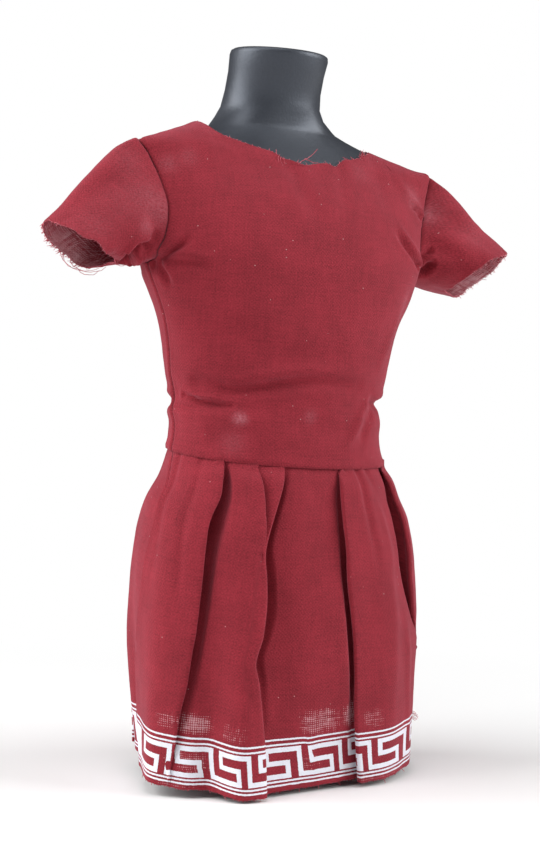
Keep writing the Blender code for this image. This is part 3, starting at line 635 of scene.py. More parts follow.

# Sleeves: two short tubes of the same cotton, set into the armholes and left empty. Their raw
# cuffs gape, and the cloth pinches under the arm. Their backs are loosely woven near the cuff,
# with painted light showing through the gaps.
AROUND_SLEEVE = 132    # steps of the grid round a sleeve
ALONG_SLEEVE = 56
Cuff = namedtuple("Cuff", "side x y z forward downward half_long half_wide droop")
CUFFS = {
    "right": Cuff(-1, -42.6, -2.0, 105.7, 10.0, 67.5, 8.1, 9.2, 1.8),
    "left": Cuff(1, 46.2, -4.8, 105.0, 36.0, 53.7, 7.0, 8.8, 0.8),
}
# How far the top of each sleeve lies above a straight line from the armhole, 0, to the cuff, 1.
HEADS = {
    "right": table("share rise", (0.0, 0.0), (0.04, 0.9), (0.1, 1.35), (0.2, 1.45), (0.35, 1.15),
                   (0.5, 0.8), (0.65, 0.35), (0.8, -0.1), (1.0, -0.1)),
    "left": table("share rise", (0.0, 0.0), (0.1, 0.05), (0.2, -0.1), (0.35, -0.5), (0.5, -1.0),
                  (0.65, -1.2), (0.8, -0.8), (1.0, -0.3)),
}
# How far each cuff hangs off its plain oval, across the view and upwards, round the opening.
SAGS = {
    "right": table("angle across up", (0, -0.4, -0.6), (22, -0.4, -1.3), (44, -1.0, -1.2),
                   (65, -1.9, -0.9), (87, -2.7, 0.4), (109, -3.6, 0.6), (131, -3.6, 0.8),
                   (153, -2.5, 0.8), (175, -1.9, 0.4), (196, -1.5, 0.2), (218, -1.0, -0.2),
                   (240, -0.4, -0.4), (262, 0.6, 0.0), (284, 1.0, 0.0), (305, 1.1, -0.8),
                   (327, 0.8, -1.1), (349, -0.2, -1.3), (360, -0.4, -0.6)),
    "left": table("angle across up", (0, -0.2, -0.3), (44, 0.0, -0.4), (65, 0.2, 0.6),
                  (87, 0.4, 0.9), (109, 0.2, 1.4), (131, -0.2, 1.3), (153, -0.8, 1.0),
                  (175, -1.3, 1.3), (196, -0.8, 0.8), (218, 0.0, -0.2), (262, 0.0, -0.5),
                  (305, 0.0, -0.8), (340, 0.0, -0.3), (360, -0.2, -0.3)),
}
# Creases of the sleeves, through points given by the angle round the sleeve, from its top towards
# the front, and the share of the way up from the cuff.
SLEEVE_CREASES = {
    "right": (
        Crease(((166, 0.32), (150, 0.38), (137, 0.45), (132, 0.53), (136, 0.62)),
               3.4, 0.9, 1.0, 1.0, 0.3),
        Crease(((152, 0.46), (160, 0.60), (162, 0.74)), -0.9, 1.3, 0.0, 0.6, 0.5),
        Crease(((142, 0.66), (130, 0.74), (116, 0.80)), 0.9, 1.0, 0.4, 0.8, 0.0),
        Crease(((104, 0.93), (90, 0.95), (74, 0.96)), -0.35, 1.4, 0.0, 0.5, 0.2),
        Crease(((118, 0.74), (98, 0.70), (80, 0.66)), 0.5, 1.6, 0.2, 0.6, 0.0),
        Crease(((60, 0.80), (30, 0.45), (20, 0.2)), 0.25, 2.2, 0.2, 0.2, 0.0),
        Crease(((300, 0.8), (280, 0.5), (270, 0.2)), 0.35, 2.0, 0.2, 0.8, 0.0),
        Crease(((220, 0.9), (235, 0.6), (240, 0.3)), 0.5, 1.6, 0.3, 1.0, 0.0)),
    "left": (
        Crease(((150, 0.96), (146, 0.82), (134, 0.72), (126, 0.60)), 2.0, 0.9, 0.4, 1.0, 0.0),
        Crease(((126, 0.90), (116, 0.78), (108, 0.70)), 0.9, 0.8, 0.3, 1.0, 0.0),
        Crease(((112, 0.84), (104, 0.55), (96, 0.3)), 0.4, 1.6, 0.25, 0.6, 0.0),
        Crease(((60, 0.85), (52, 0.55), (40, 0.3)), 0.3, 2.0, 0.2, 0.5, 0.0),
        Crease(((300, 0.8), (285, 0.5), (275, 0.2)), 0.35, 2.0, 0.2, 0.8, 0.0),
        Crease(((215, 0.9), (228, 0.6), (236, 0.3)), 0.6, 1.5, 0.3, 1.0, 0.0)),
}


def sleeve_grid(name, cuff):
    """Outer face of a sleeve: closed rows of points from the cuff up to the armhole."""
    forward, downward = math.radians(cuff.forward), math.radians(cuff.downward)
    up = np.array((cuff.side * math.cos(forward) * math.sin(downward),
                   -math.sin(forward) * math.sin(downward), math.cos(downward)))
    ahead = np.array((-cuff.side * math.sin(forward), -math.cos(forward), 0.0))
    angles = np.arange(AROUND_SLEEVE) * 360.0 / AROUND_SLEEVE
    c, s = np.cos(np.radians(angles))[:, None], np.sin(np.radians(angles))[:, None]
    cuff_edge = (np.array((cuff.x, cuff.y, cuff.z)) - s ** 2 * np.array((0.0, 0.0, cuff.droop))
                 + cuff.half_long * c * up + cuff.half_wide * s * ahead)
    seen_across = np.array((math.cos(turned), math.sin(turned), 0.0))
    cuff_edge = (cuff_edge + read(SAGS[name], "across", angles)[:, None] * seen_across
                 + read(SAGS[name], "up", angles)[:, None] * np.array((0.0, 0.0, 1.0)))
    edge_angles = np.minimum(angles, 360.0 - angles)
    edge_at = 180.0 * armhole_shares()
    front_root, back_root = (
        np.stack([np.interp(edge_angles, edge_at[::-1], armhole_edges[body_side][cuff.side][::-1, k])
                  for k in range(3)], -1) for body_side in ("front", "back"))
    root = np.where((angles <= 180.0)[:, None], front_root, back_root)
    away = np.stack((cuff.side + 0.0 * angles, 0.0 * angles,
                     -1.2 * np.cos(np.radians(edge_angles)) - 0.4), -1)
    root = root + 0.12 * away / np.linalg.norm(away, axis=1, keepdims=True)
    rows = []
    for share in 1.0 - finer_ends(ALONG_SLEEVE, 0.35):
        rise = read(HEADS[name], "rise", share) * np.maximum(c[:, 0], 0.0)
        row = (1.0 - share) * root + share * cuff_edge
        row[:, 2] += rise
        rows.append(row if cuff.side < 0 else row[::-1])
    grid = np.array(rows)
    return grid + (SOLID_CLOTH * stands_out(grid))[..., None] * outward(grid, True)


def on_sleeve(grid, cuff, line):
    """Points of a sleeve's grid at angles round it and shares of the way up from the cuff."""
    column = line[:, 0] / 360.0 * grid.shape[1]
    column = column if cuff.side < 0 else grid.shape[1] - 1 - column
    left = np.floor(column).astype(int)
    row = np.clip(line[:, 1], 0.0, 1.0) * (len(grid) - 1)
    low = np.minimum(row.astype(int), len(grid) - 2)
    across, above = (column - left)[:, None], (row - low)[:, None]
    left, right = left % grid.shape[1], (left + 1) % grid.shape[1]
    return ((1 - above) * ((1 - across) * grid[low, left] + across * grid[low, right])
            + above * ((1 - across) * grid[low + 1, left] + across * grid[low + 1, right]))


def stands_out(grid):
    """The share of the solid's wall that the cloth stands out by: none at the armhole seam."""
    to_seam = lengths(grid, 0)[-1:] - lengths(grid, 0)
    return 1.0 - np.exp(-(to_seam / 4.0) ** 2)


def angles_round(grid, cuff):
    """The angle round the sleeve at each of its grid's points."""
    columns = np.arange(grid.shape[1]) * 360.0 / grid.shape[1]
    return np.tile(columns if cuff.side < 0 else columns[::-1], (len(grid), 1))


# Chalky, rubbed places, by angle and share as above, with their size and strength.
RUBBED = {
    "right": (((76, 0.74), 4.0, 0.14), ((98, 0.86), 3.0, 0.14), ((60, 0.5), 4.5, 0.08),
              ((104, 0.60), 1.4, 0.20), ((60, 0.2), 3.5, 0.10), ((30, 0.7), 3.0, 0.10)),
    "left": (((60, 0.86), 3.4, 0.14), ((40, 0.4), 3.2, 0.10), ((70, 0.95), 1.8, 0.24)),
}
sleeves = {}
for name, cuff in CUFFS.items():
    grid = sleeve_grid(name, cuff)
    normals = outward(grid, True)
    from_cuff = lengths(grid, 0)
    to_seam = from_cuff[-1:] - from_cuff
    rolled = 0.2 * (1.0 - np.exp(-(to_seam / 0.5) ** 2))
    out = rolled + 0.16 * lumps(grid, 6.0, 5) + 0.06 * lumps(grid, 2.0, 6)
    out += 0.22 * np.exp(-(from_cuff / 1.6) ** 2) * lumps(grid, 2.6, 7)
    out += creased(grid, SLEEVE_CREASES[name], lambda line: on_sleeve(grid, cuff, line))
    shape = grid + out[..., None] * normals
    edge = np.exp(-(from_cuff / 1.2) ** 2)
    shape[..., 2] += 0.25 * edge * lumps(grid, 1.3, 8)
    raw_edges["sleeve_" + name] = (np.concatenate((shape[0], shape[0, :1])),
                                   np.concatenate((shape[2], shape[2, :1])),
                                   np.concatenate((normals[0], normals[0, :1])))
    around_it = lengths(np.concatenate((grid, grid[:, :1]), 1), 1)
    rows_up = np.concatenate((from_cuff, from_cuff[:, :1]), 1)
    cut = np.stack((around_it, rows_up + 60.0), -1)
    chalk = np.zeros(grid.shape[:2])
    for place, size, amount in RUBBED[name]:
        centre = on_sleeve(grid, cuff, np.array([place], float))[0]
        chalk += amount * np.exp(-(np.linalg.norm(grid - centre, axis=2) / size) ** 2)
    # The loose weave at the back of each sleeve near its cuff, where painted light shows through.
    sheer_backlight = np.clip(np.sin(np.radians(angles_round(grid, cuff))) * -1.0, 0.0, 1.0) ** 0.5
    sheer_backlight = 0.95 * sheer_backlight * np.exp(-(from_cuff / 9.0) ** 2)
    sleeves[name] = cloth_piece("sleeve_cloth_" + name, shape, cut,
                                {"chalk": chalk, "seam": 0.55 * seam_line(to_seam), "sheer_backlight": sheer_backlight},
                                cotton, closed=True)
    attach(sleeves[name], "root")
    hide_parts("sleeve_" + name)

# Skirt: a front and a back of the same cotton, gathered into pressed folds at the waist seam. Each
# fold is a real turn of the cloth: an edge, a layer that runs back under it, and a hidden turn.
# Along its raw hem runs a white printed key border.
HEM_Z = 3.7
SKIRT_RADIUS = 19.0        # rough radius, which turns the gap at a side seam into an angle
SKIRT_STEP = 0.5           # width of the grid's columns
SINK = 0.45                # how far the skirt's top edge is sunk under the bodice's lower edge
COMES_OUT = 1.8            # length over which the folds rise below the waist
# The rows of the grid, from the hem, 1, to just above the waist seam, 0, closer near the waist.
DROPS = np.concatenate((np.linspace(1.0, 0.12, 92), np.linspace(0.12, -0.018, 30)[1:]))
BORDER_ROW = 8             # row, counted from the hem, on which the border is measured
SKIRT = table(
    "drop half_width front back squareness",
    (0.0, 23.6, 15.4, 15.5, 2.1),
    (0.05, 24.0, 16.4, 16.4, 2.1),
    (0.1, 25.2, 17.2, 17.2, 2.1),
    (0.16, 27.4, 18.1, 18.1, 2.1),
    (0.25, 28.8, 19.1, 19.2, 2.2),
    (0.35, 29.7, 19.8, 19.8, 2.2),
    (0.48, 30.1, 20.1, 20.2, 2.3),
    (0.6, 30.1, 20.1, 20.2, 2.4),
    (0.72, 29.6, 19.8, 20.0, 2.5),
    (0.85, 29.2, 19.3, 19.6, 2.6),
    (1.0, 29.0, 19.0, 19.2, 2.6),
)


def pleat(*rows):
    """A pressed fold, read by how far down the skirt it is: the angle of its edge, from the front,
    0, to the wearer's left, 90, how far the cloth stands out before and after the edge, and the
    width and rise of the slope by which the lower layer comes out from under the upper one."""
    return table("drop angle before after floor rise", *rows)


FOLDS = {
    "front": (
        pleat(
            (0.0, -45.9, 0.9, -0.7, 3.0, 1.1), (0.05, -46.1, 1.5, -1.6, 4.4, 2.0),
            (0.1, -45.6, 1.9, -2.2, 5.8, 2.6), (0.19, -47.1, 2.0, -2.4, 8.0, 2.8),
            (0.26, -47.4, 2.0, -2.3, 6.5, 2.4), (0.33, -47.4, 2.0, -2.1, 5.0, 1.9),
            (0.45, -48.4, 2.1, -1.8, 4.4, 1.5), (0.55, -49.9, 2.2, -1.4, 4.0, 1.1),
            (0.66, -52.7, 2.2, -0.9, 3.4, 0.7), (0.78, -57.5, 2.0, -0.3, 2.6, 0.3),
            (0.85, -59.4, 1.6, 0.2, 2.0, 0.0), (0.92, -61.6, 1.4, 0.8, 2.0, 0.0),
            (1.0, -64.6, 1.2, 1.15, 2.0, 0.0)),
        pleat(
            (0.0, -28.0, 0.9, -0.4, 2.0, 0.5), (0.05, -26.3, 1.6, -0.4, 2.4, 0.7),
            (0.13, -23.9, 2.2, 0.0, 2.4, 0.5), (0.19, -22.8, 2.4, 0.3, 1.6, 0.3),
            (0.23, -23.2, 2.4, 1.4, 1.0, 0.0), (0.26, -24.4, 2.4, 2.2, 1.0, 0.0),
            (0.28, -25.0, 2.4, 2.4, 1.0, 0.0), (0.31, -25.6, 2.4, 2.4, 1.0, 0.0),
            (0.5, -27.0, 2.5, 2.5, 1.0, 0.0), (0.587, -29.0, 2.6, 2.6, 1.0, 0.0),
            (0.7, -27.0, 2.7, 2.7, 1.0, 0.0), (1.0, -24.0, 2.3, 2.3, 1.0, 0.0)),
        pleat(
            (0.0, -13.8, 1.0, -0.9, 3.0, 0.8), (0.067, -17.0, 1.6, -1.4, 3.4, 1.0),
            (0.13, -19.2, 1.9, -1.8, 3.4, 1.1), (0.19, -21.0, 2.1, -2.2, 3.4, 1.2),
            (0.25, -22.3, 2.4, -2.5, 4.0, 1.3), (0.33, -21.8, 2.5, -2.6, 4.6, 1.5),
            (0.44, -21.4, 2.6, -2.4, 5.0, 1.6), (0.51, -22.2, 2.8, -1.9, 4.6, 1.2),
            (0.587, -24.4, 2.9, -1.5, 4.4, 1.0), (0.64, -22.8, 2.9, -1.2, 4.0, 0.8),
            (0.76, -20.3, 2.8, -0.6, 3.0, 0.4), (0.84, -18.7, 2.6, -0.1, 2.0, 0.0),
            (1.0, -17.5, 2.4, 0.4, 2.0, 0.0)),
        pleat(
            (0.0, 15.6, -0.4, 0.8, 1.0, 0.0), (0.067, 12.6, -1.0, 1.4, 1.0, 0.4),
            (0.15, 10.4, -1.4, 1.8, 1.6, 1.0), (0.24, 9.2, -1.7, 2.0, 2.2, 1.8),
            (0.32, 8.9, -1.9, 2.0, 2.8, 2.4), (0.44, 9.7, -2.0, 1.8, 3.4, 3.2),
            (0.55, 10.4, -2.0, 1.6, 3.8, 3.4), (0.66, 11.0, -1.8, 1.3, 3.6, 2.8),
            (0.76, 11.5, -1.7, 1.0, 3.0, 1.5), (0.87, 12.7, -1.9, 0.7, 2.0, 0.4),
            (1.0, 15.0, -2.0, 0.5, 1.0, 0.0)),
        pleat(
            (0.0, 52.5, 0.7, -0.9, 1.0, 0.0), (0.05, 50.5, 0.9, -1.9, 1.0, 0.0),
            (0.12, 45.4, 0.9, -2.6, 1.0, 0.0), (0.21, 41.2, 1.0, -3.0, 1.0, 0.0),
            (0.3, 39.4, 1.1, -2.8, 1.0, 0.0), (0.4, 42.2, 1.2, -2.2, 1.0, 0.0),
            (0.49, 48.5, 1.3, -0.9, 1.0, 0.0), (0.547, 56.5, 1.1, 0.6, 1.0, 0.0),
            (0.62, 64.0, 0.9, 0.9, 2.0, 0.0), (0.8, 72.0, 0.8, 0.8, 2.0, 0.0),
            (1.0, 77.0, 0.6, 0.6, 2.0, 0.0)),
        pleat(
            (0.0, 59.5, -0.9, 0.9, 1.0, 0.0), (0.05, 58.8, -1.9, 1.7, 1.0, 0.0),
            (0.12, 54.4, -2.6, 2.1, 1.0, 0.0), (0.21, 50.7, -3.0, 2.2, 1.0, 0.0),
            (0.3, 48.4, -2.8, 2.1, 1.0, 0.0), (0.4, 49.6, -2.2, 1.8, 1.0, 0.0),
            (0.49, 54.5, -0.9, 1.3, 1.0, 0.0), (0.547, 61.0, 0.6, 0.9, 1.0, 0.0),
            (0.62, 68.0, 0.9, 0.9, 2.0, 0.0), (0.8, 76.0, 0.8, 0.8, 2.0, 0.0),
            (1.0, 81.0, 0.6, 0.6, 2.0, 0.0)),
    ),
    "back": (
        pleat(
            (0.0, 128.0, -0.3, 0.7, 2.0, 0.0),
            (0.1, 129.0, -1.4, 1.6, 4.0, 0.8), (0.33, 130.0, -1.4, 2.2, 4.0, 1.0),
            (0.55, 128.2, -0.8, 2.2, 3.0, 0.4), (0.67, 127.4, -0.4, 2.0, 2.0, 0.0),
            (0.8, 125.0, -0.2, 1.8, 2.0, 0.0), (1.0, 122.0, 0.0, 1.5, 2.0, 0.0)),
        pleat(
            (0.0, 164.0, -0.3, 0.8, 2.0, 0.0),
            (0.1, 162.4, -1.4, 1.8, 4.0, 0.8), (0.33, 160.0, -1.6, 2.4, 4.0, 1.0),
            (0.5, 157.6, -1.0, 2.4, 3.0, 0.5), (0.67, 157.0, -0.5, 2.4, 2.0, 0.0),
            (0.85, 158.8, -0.2, 2.2, 2.0, 0.0), (1.0, 160.0, 0.2, 2.0, 2.0, 0.0)),
        pleat(
            (0.0, 194.0, 0.8, -0.3, 2.0, 0.0),
            (0.1, 196.0, 1.8, -1.5, 4.5, 0.9), (0.33, 199.0, 2.4, -1.7, 4.0, 1.1),
            (0.5, 202.4, 2.6, -1.0, 3.0, 0.4), (0.67, 203.0, 2.6, -0.5, 2.0, 0.0),
            (0.85, 201.4, 2.2, -0.2, 2.0, 0.0), (1.0, 200.0, 2.0, 0.0, 2.0, 0.0)),
        pleat(
            (0.0, 228.0, 0.7, -0.3, 2.0, 0.0),
            (0.1, 226.0, 1.4, -1.0, 3.0, 0.6), (0.33, 224.0, 1.9, -0.9, 3.0, 0.6),
            (0.5, 224.8, 1.8, -0.5, 3.0, 0.0), (0.67, 226.0, 1.6, -0.3, 2.0, 0.0),
            (1.0, 230.0, 1.2, -0.2, 2.0, 0.0)),
    ),
}
# The side seams, as angles, and how far each piece stands out beside the wearer's right one.
SIDE_SEAMS = table("drop right left right_front right_back",
                   (0.0, -90.0, 90.0, 0.0, 0.0), (0.04, -88.0, 90.0, 0.1, 0.0),
                   (0.1, -83.0, 90.0, 0.3, -0.1), (0.2, -79.8, 90.0, 0.5, -0.2),
                   (0.3, -82.8, 90.0, 0.6, -0.3), (0.42, -85.4, 90.0, 0.6, -0.3),
                   (0.54, -88.8, 90.0, 0.7, -0.3), (0.65, -91.5, 90.0, 0.8, -0.4),
                   (0.8, -94.0, 90.0, 0.9, -0.7), (1.0, -94.5, 90.0, 0.9, -0.9))
# Soft waves between the folds, given at places evenly spaced from the waist to the hem.
Wave = namedtuple("Wave", "angles heights spread")
WAVES = (
    Wave((-28.0, -27.0, -27.0, -26.0), (0.2, 0.0, 1.2, 2.0), 8.0),
    Wave((-38.0, -38.0, -40.0, -42.0), (0.0, 0.0, -1.0, -2.4), 8.0),
    Wave((-5.0, -10.0, -8.0, -6.0, -4.0), (0.0, 0.4, 0.3, 0.2, 0.0), 8.0),
    Wave((28.0, 27.0, 27.0, 26.0), (0.3, 0.8, 0.6, 0.3), 8.0),
    Wave((27.8, 23.0, 22.0, 22.0, 22.0, 22.0, 22.0), (-0.8, -0.5, 0.0, 0.0, 0.0, 0.0, 0.0), 2.0),
    Wave((36.0, 33.0, 31.0, 31.0, 31.0, 31.0, 31.0), (-0.4, 0.3, 0.1, 0.0, 0.0, 0.0, 0.0), 2.5),
    Wave((32.0, 30.0, 30.0, 31.0, 31.0), (0.0, 0.0, 0.25, 0.1, 0.0), 3.0),
    Wave((45.0, 47.0, 48.0, 48.0), (0.0, 0.0, -0.4, -0.4), 9.0),
    Wave((40.0, 40.0, 40.0, 44.0, 50.0, 56.0), (0.0, 0.0, 0.0, 0.5, 0.3, 0.0), 3.5),
    Wave((72.0, 66.0, 66.0, 78.0, 84.0), (0.8, -0.5, -0.2, 0.1, 0.0), 11.0),
    Wave((-70.0, -66.0, -70.0, -74.0), (0.0, 0.5, 0.6, 1.2), 9.0),
    Wave((-80.0, -74.0, -76.0, -80.0, -80.0), (-0.4, -0.15, 0.0, 0.0, 0.0), 2.2),
    Wave((-60.0, -58.0, -57.0, -57.0, -57.0), (-0.3, -0.35, 0.0, 0.0, 0.0), 2.5),
    Wave((240.0, 244.0, 244.0, 246.0, 248.0), (0.4, 0.6, 1.0, 1.2, 0.3), 9.0),
    Wave((142.0, 144.0, 142.0, 141.0), (0.3, 0.8, 0.9, 1.2), 8.0),
    Wave((180.0, 180.0, 182.0, 180.0), (0.0, -0.6, -0.6, -0.4), 9.0),
    Wave((218.0, 216.0, 218.0, 220.0), (0.3, 0.8, 1.0, 1.2), 8.0),
    Wave((105.0, 106.0, 107.0, 108.0), (0.0, 0.4, 0.5, 0.4), 9.0),
    Wave((255.0, 256.0, 258.0, 258.0), (-0.5, -0.3, -1.2, -2.4), 14.0),
)

# The printed border, charted from the raw hem upwards: two thin lines, the key and two thin lines.
# The key is read along the hem in repeats: a full upright at 0, a low bar from it to 0.73, a half
# upright, a middle bar back to 0.27, a half upright and a high bar on to the next repeat.
BAND_TOP = 10.1            # the upper line's upper edge above the raw hem
PRINT = "#E9ECF5"
BAR = 0.95                 # width of the key's bars
REPEAT = 8.8               # length of a repeat
KEY_TOP, KEY_MIDDLE, KEY_BOTTOM = 1.7, 4.72, 7.75  # below BAND_TOP
THIN_LINES = (0.18, 1.17, 8.25, 9.0)               # their middles, below BAND_TOP
THIN_LINE = 0.36           # width of a thin line
BORDER = {
    "front": table("along repeat", (5.4, 0.0), (9.85, 0.27), (14.2, 0.73), (16.6, 1.0),
                   (17.6, 1.12), (20.9, 1.2), (21.6, 1.27), (25.9, 1.73), (28.25, 2.0),
                   (30.6, 2.27), (34.6, 2.73), (36.7, 3.0), (39.2, 3.27), (40.2, 3.38),
                   (47.35, 4.27), (52.05, 4.73), (54.9, 5.0), (57.8, 5.27), (62.4, 5.73),
                   (64.6, 6.0), (67.0, 6.27), (68.7, 6.43), (73.35, 6.72), (75.7, 7.0),
                   (78.4, 7.27), (84.3, 7.73), (88.3, 8.0), (91.5, 8.27), (108.0, 10.1)),
    "back": table("along repeat", (0.0, 0.0), (111.0, 12.6)),
}
# Loosely woven places of the front, where painted light shows through: mm along the hem and
# above it, their half sizes and strength.
OPEN_PLACES = ((15.8, 12.8, 2.4, 1.7, 0.55), (24.6, 12.6, 3.8, 2.0, 0.95),
               (33.6, 12.2, 3.2, 1.7, 0.5), (60.0, 13.0, 4.8, 2.8, 0.75),
               (67.2, 13.6, 2.0, 2.4, 0.95), (77.0, 12.8, 2.8, 2.0, 0.6),
               (24.4, 5.4, 3.6, 2.8, 0.6), (19.5, 0.6, 5.0, 0.7, 0.6), (76.0, 0.6, 8.0, 0.7, 0.6),
               (57.4, 5.0, 3.2, 2.6, 0.35))


def printed_key(cotton, cut, colour, height):
    """Adds the white printed border to the cloth: flat paint with slightly rough edges."""
    rough = add_node(cotton, "ShaderNodeTexNoise", {"Vector": cut, "Scale": 1 / 0.35, "Detail": 1.0})
    rough = calculated(cotton, "MULTIPLY_ADD", rough.outputs[0], 0.16, -0.08)
    up = add_node(cotton, "ShaderNodeSeparateXYZ", {0: cut}).outputs[1]
    down = calculated(cotton, "ADD", calculated(cotton, "SUBTRACT", BAND_TOP, up), rough)
    key = add_node(cotton, "ShaderNodeAttribute", attribute_name="key").outputs["Fac"]
    key = calculated(cotton, "MULTIPLY_ADD", rough, 1 / REPEAT, key)
    # Shares are moved on by 0.1, so that the full upright isn't cut in two where repeats meet.
    key = calculated(cotton, "FRACT", calculated(cotton, "ADD", key, 0.1))
    half = 0.5 * BAR / REPEAT
    high, middle, low = KEY_TOP + BAR / 2, KEY_MIDDLE, KEY_BOTTOM - BAR / 2
    inked = None
    for start, end, top, bottom in (
            (0.1, 0.1, high, low), (0.1, 0.83, low, low), (0.83, 0.83, middle, low),
            (0.37, 0.83, middle, middle), (0.37, 0.37, high, middle), (0.37, 1.1, high, high),
            (-0.1, 0.1, high, high)):
        across = calculated(cotton, "COMPARE", key, (start + end) / 2, (end - start) / 2 + half)
        along = calculated(cotton, "COMPARE", down, (top + bottom) / 2,
                           (bottom - top) / 2 + BAR / 2)
        bar = calculated(cotton, "MULTIPLY", across, along)
        inked = bar if inked is None else calculated(cotton, "MAXIMUM", inked, bar)
    for line in THIN_LINES:
        bar = calculated(cotton, "COMPARE", down, line, THIN_LINE / 2)
        inked = calculated(cotton, "MAXIMUM", inked, bar)
    thin = add_node(cotton, "ShaderNodeTexNoise", {"Vector": cut, "Scale": 1 / 0.45, "Detail": 2.0})
    thin = add_node(cotton, "ShaderNodeMapRange", {"Value": thin.outputs[0], 1: 0.25, 2: 0.40,
                                                   3: 0.86, 4: 1.0})
    ink = calculated(cotton, "MULTIPLY", inked, thin.outputs[0])
    colour = add_node(cotton, "ShaderNodeMix", {"Factor": ink, "A": colour, "B": linear(PRINT)},
                      data_type="RGBA")
    return colour.outputs["Result"], weighted(cotton, ((height, 1.0), (inked, 0.5)))


def station(values, drop):
    """A wave's value at a drop, between its evenly spaced places."""
    return float(read({"at": np.linspace(0.0, 1.0, len(values)), "v": np.array(values, float)},
                      "v", drop))


def around(angles, half_width, front, back, squareness):
    """Points of a rounded section; 0 is the front and 90 the wearer's left."""
    s, c = np.sin(np.radians(angles)), np.cos(np.radians(angles))
    power = 2.0 / squareness
    depth = np.where(c > 0, front, back)
    return np.stack((np.sign(s) * np.abs(s) ** power * half_width,
                     -np.sign(c) * np.abs(c) ** power * depth), -1)


def slope(t, way):
    """How much of a rise is left at a share of its width: a low floor with a steep far side after
    a fold that faces the wearer's left, and an even slope down to one that faces the right."""
    t = np.clip(t, 0.0, 1.0)
    return 1.0 - t ** 2.5 if way > 0 else (1.0 - t) ** 1.3


def start_edge(angles, start):
    """Where the upper layer's edge lies over the start of a panel."""
    return float(np.max(angles[-1])) if angles else start


def skirt_section(body_side, drop, counts):
    """One section: its points, its panels, -1 in a fold's hidden turns, and its angles."""
    section = [float(read(SKIRT, column, drop))
               for column in ("half_width", "front", "back", "squareness")]
    grow = 1.0 - math.exp(-(max(drop, 0.0) * (WAIST_Z - HEM_Z) / COMES_OUT) ** 2)
    gap = math.degrees(SEAM_GAP / 2 / SKIRT_RADIUS)
    right, left = float(read(SIDE_SEAMS, "right", drop)), float(read(SIDE_SEAMS, "left", drop))
    if body_side == "front":
        start, end = right + gap, left - gap
        low, last_height = float(read(SIDE_SEAMS, "right_back", drop)), 0.0
        floor, rise = 1.0, float(read(SIDE_SEAMS, "right_front", drop)) - low
    else:
        start, end = left + gap, right + 360.0 - gap
        low, last_height = 0.0, float(read(SIDE_SEAMS, "right_back", drop))
        floor, rise = 1.0, 0.0
    angles, heights, panels = [], [], []
    for k, fold in enumerate(FOLDS[body_side] + (None,)):
        share = np.linspace(0.0, 1.0, counts[k] + 1)
        way = 1.0
        if fold is None:
            last, before = end, last_height
        else:
            at, before, after, fold_floor, fold_rise = (
                float(read(fold, column, drop)) for column in fold if column != "drop")
            before, after, fold_rise = (height * (0.25 + 0.75 * grow)
                                        for height in (before, after, fold_rise))
            step = abs(before - after)
            ends = around(np.array([at - 0.5, at + 0.5]), *section)
            scale = float(np.linalg.norm(ends[1] - ends[0]))
            # The edge is a round lip, from which the cloth goes back under itself and turns again.
            lip, turn = min(0.25 * step, 0.6), min(0.2 * step, 0.5)
            under = (2.2 - 0.8 * drop) * min(step / 0.9, 1.0)
            way = 1.0 if before > after else -1.0
            edge, back = at + way * (0.3 - lip) / scale, at - way * under / scale
            last = edge if way > 0 else back
        panel = start + (last - start) * share
        high = before + (fold_rise if way < 0 else 0.0)
        height = low + rise + (high - low - rise) * (1.0 - np.cos(np.pi * share)) / 2.0
        height -= rise * slope((panel - start_edge(angles, start)) / floor, 1.0)
        if way < 0:
            height -= fold_rise * slope((edge - panel) / fold_floor, way)
        angles.append(panel)
        heights.append(height)
        panels.append(np.full(len(share), k))
        if fold is None:
            break
        phi = np.radians(np.linspace(0.0, 180.0, 9)[1:])
        between = np.linspace(0.0, 1.0, 6)[1:-1]
        upper, lower = max(before, after), min(before, after)
        turns = [(edge + way * lip * np.sin(phi) / scale, upper - lip + lip * np.cos(phi)),
                 (edge + (back - edge) * between,
                  upper - 2 * lip + (lower + 2 * turn - upper + 2 * lip) * between),
                 (back - way * turn * np.sin(phi) / scale, lower + turn + turn * np.cos(phi))]
        hidden = [np.concatenate([bend[k] for bend in turns]) for k in (0, 1)]
        if way < 0:
            hidden = [values[::-1] for values in hidden]
            hidden = [np.concatenate((values[1:], [first]))
                      for values, first in zip(hidden, (edge, upper))]
        # Where a fold runs out, its turns open into flat cloth.
        opened = max(0.0, 1.0 - step / 0.5)
        ahead = np.linspace(0.0, 1.0, len(hidden[0]) + 1)[1:]
        angles.append((1.0 - opened) * hidden[0] + opened * (last + 0.7 / scale * ahead))
        heights.append((1.0 - opened) * hidden[1] + opened * (before + (after - before) * ahead))
        panels.append(np.full(len(hidden[0]), -1))
        start, low = angles[-1][-1], after
        floor, rise = (fold_floor, fold_rise) if way > 0 else (1.0, 0.0)
    angles, heights = np.concatenate(angles), np.concatenate(heights)
    for wave in WAVES:
        away = (angles - station(wave.angles, drop) + 180.0) % 360.0 - 180.0
        heights = heights + station(wave.heights, drop) * np.exp(-(away / wave.spread) ** 2)
    heights = heights - SINK * (1.0 - grow)
    here, ahead = around(angles, *section), around(angles + 0.25, *section)
    along = (ahead - here) / np.linalg.norm(ahead - here, axis=1, keepdims=True)
    points = here + heights[:, None] * np.stack((along[:, 1], -along[:, 0]), -1)
    return points, np.concatenate(panels), angles


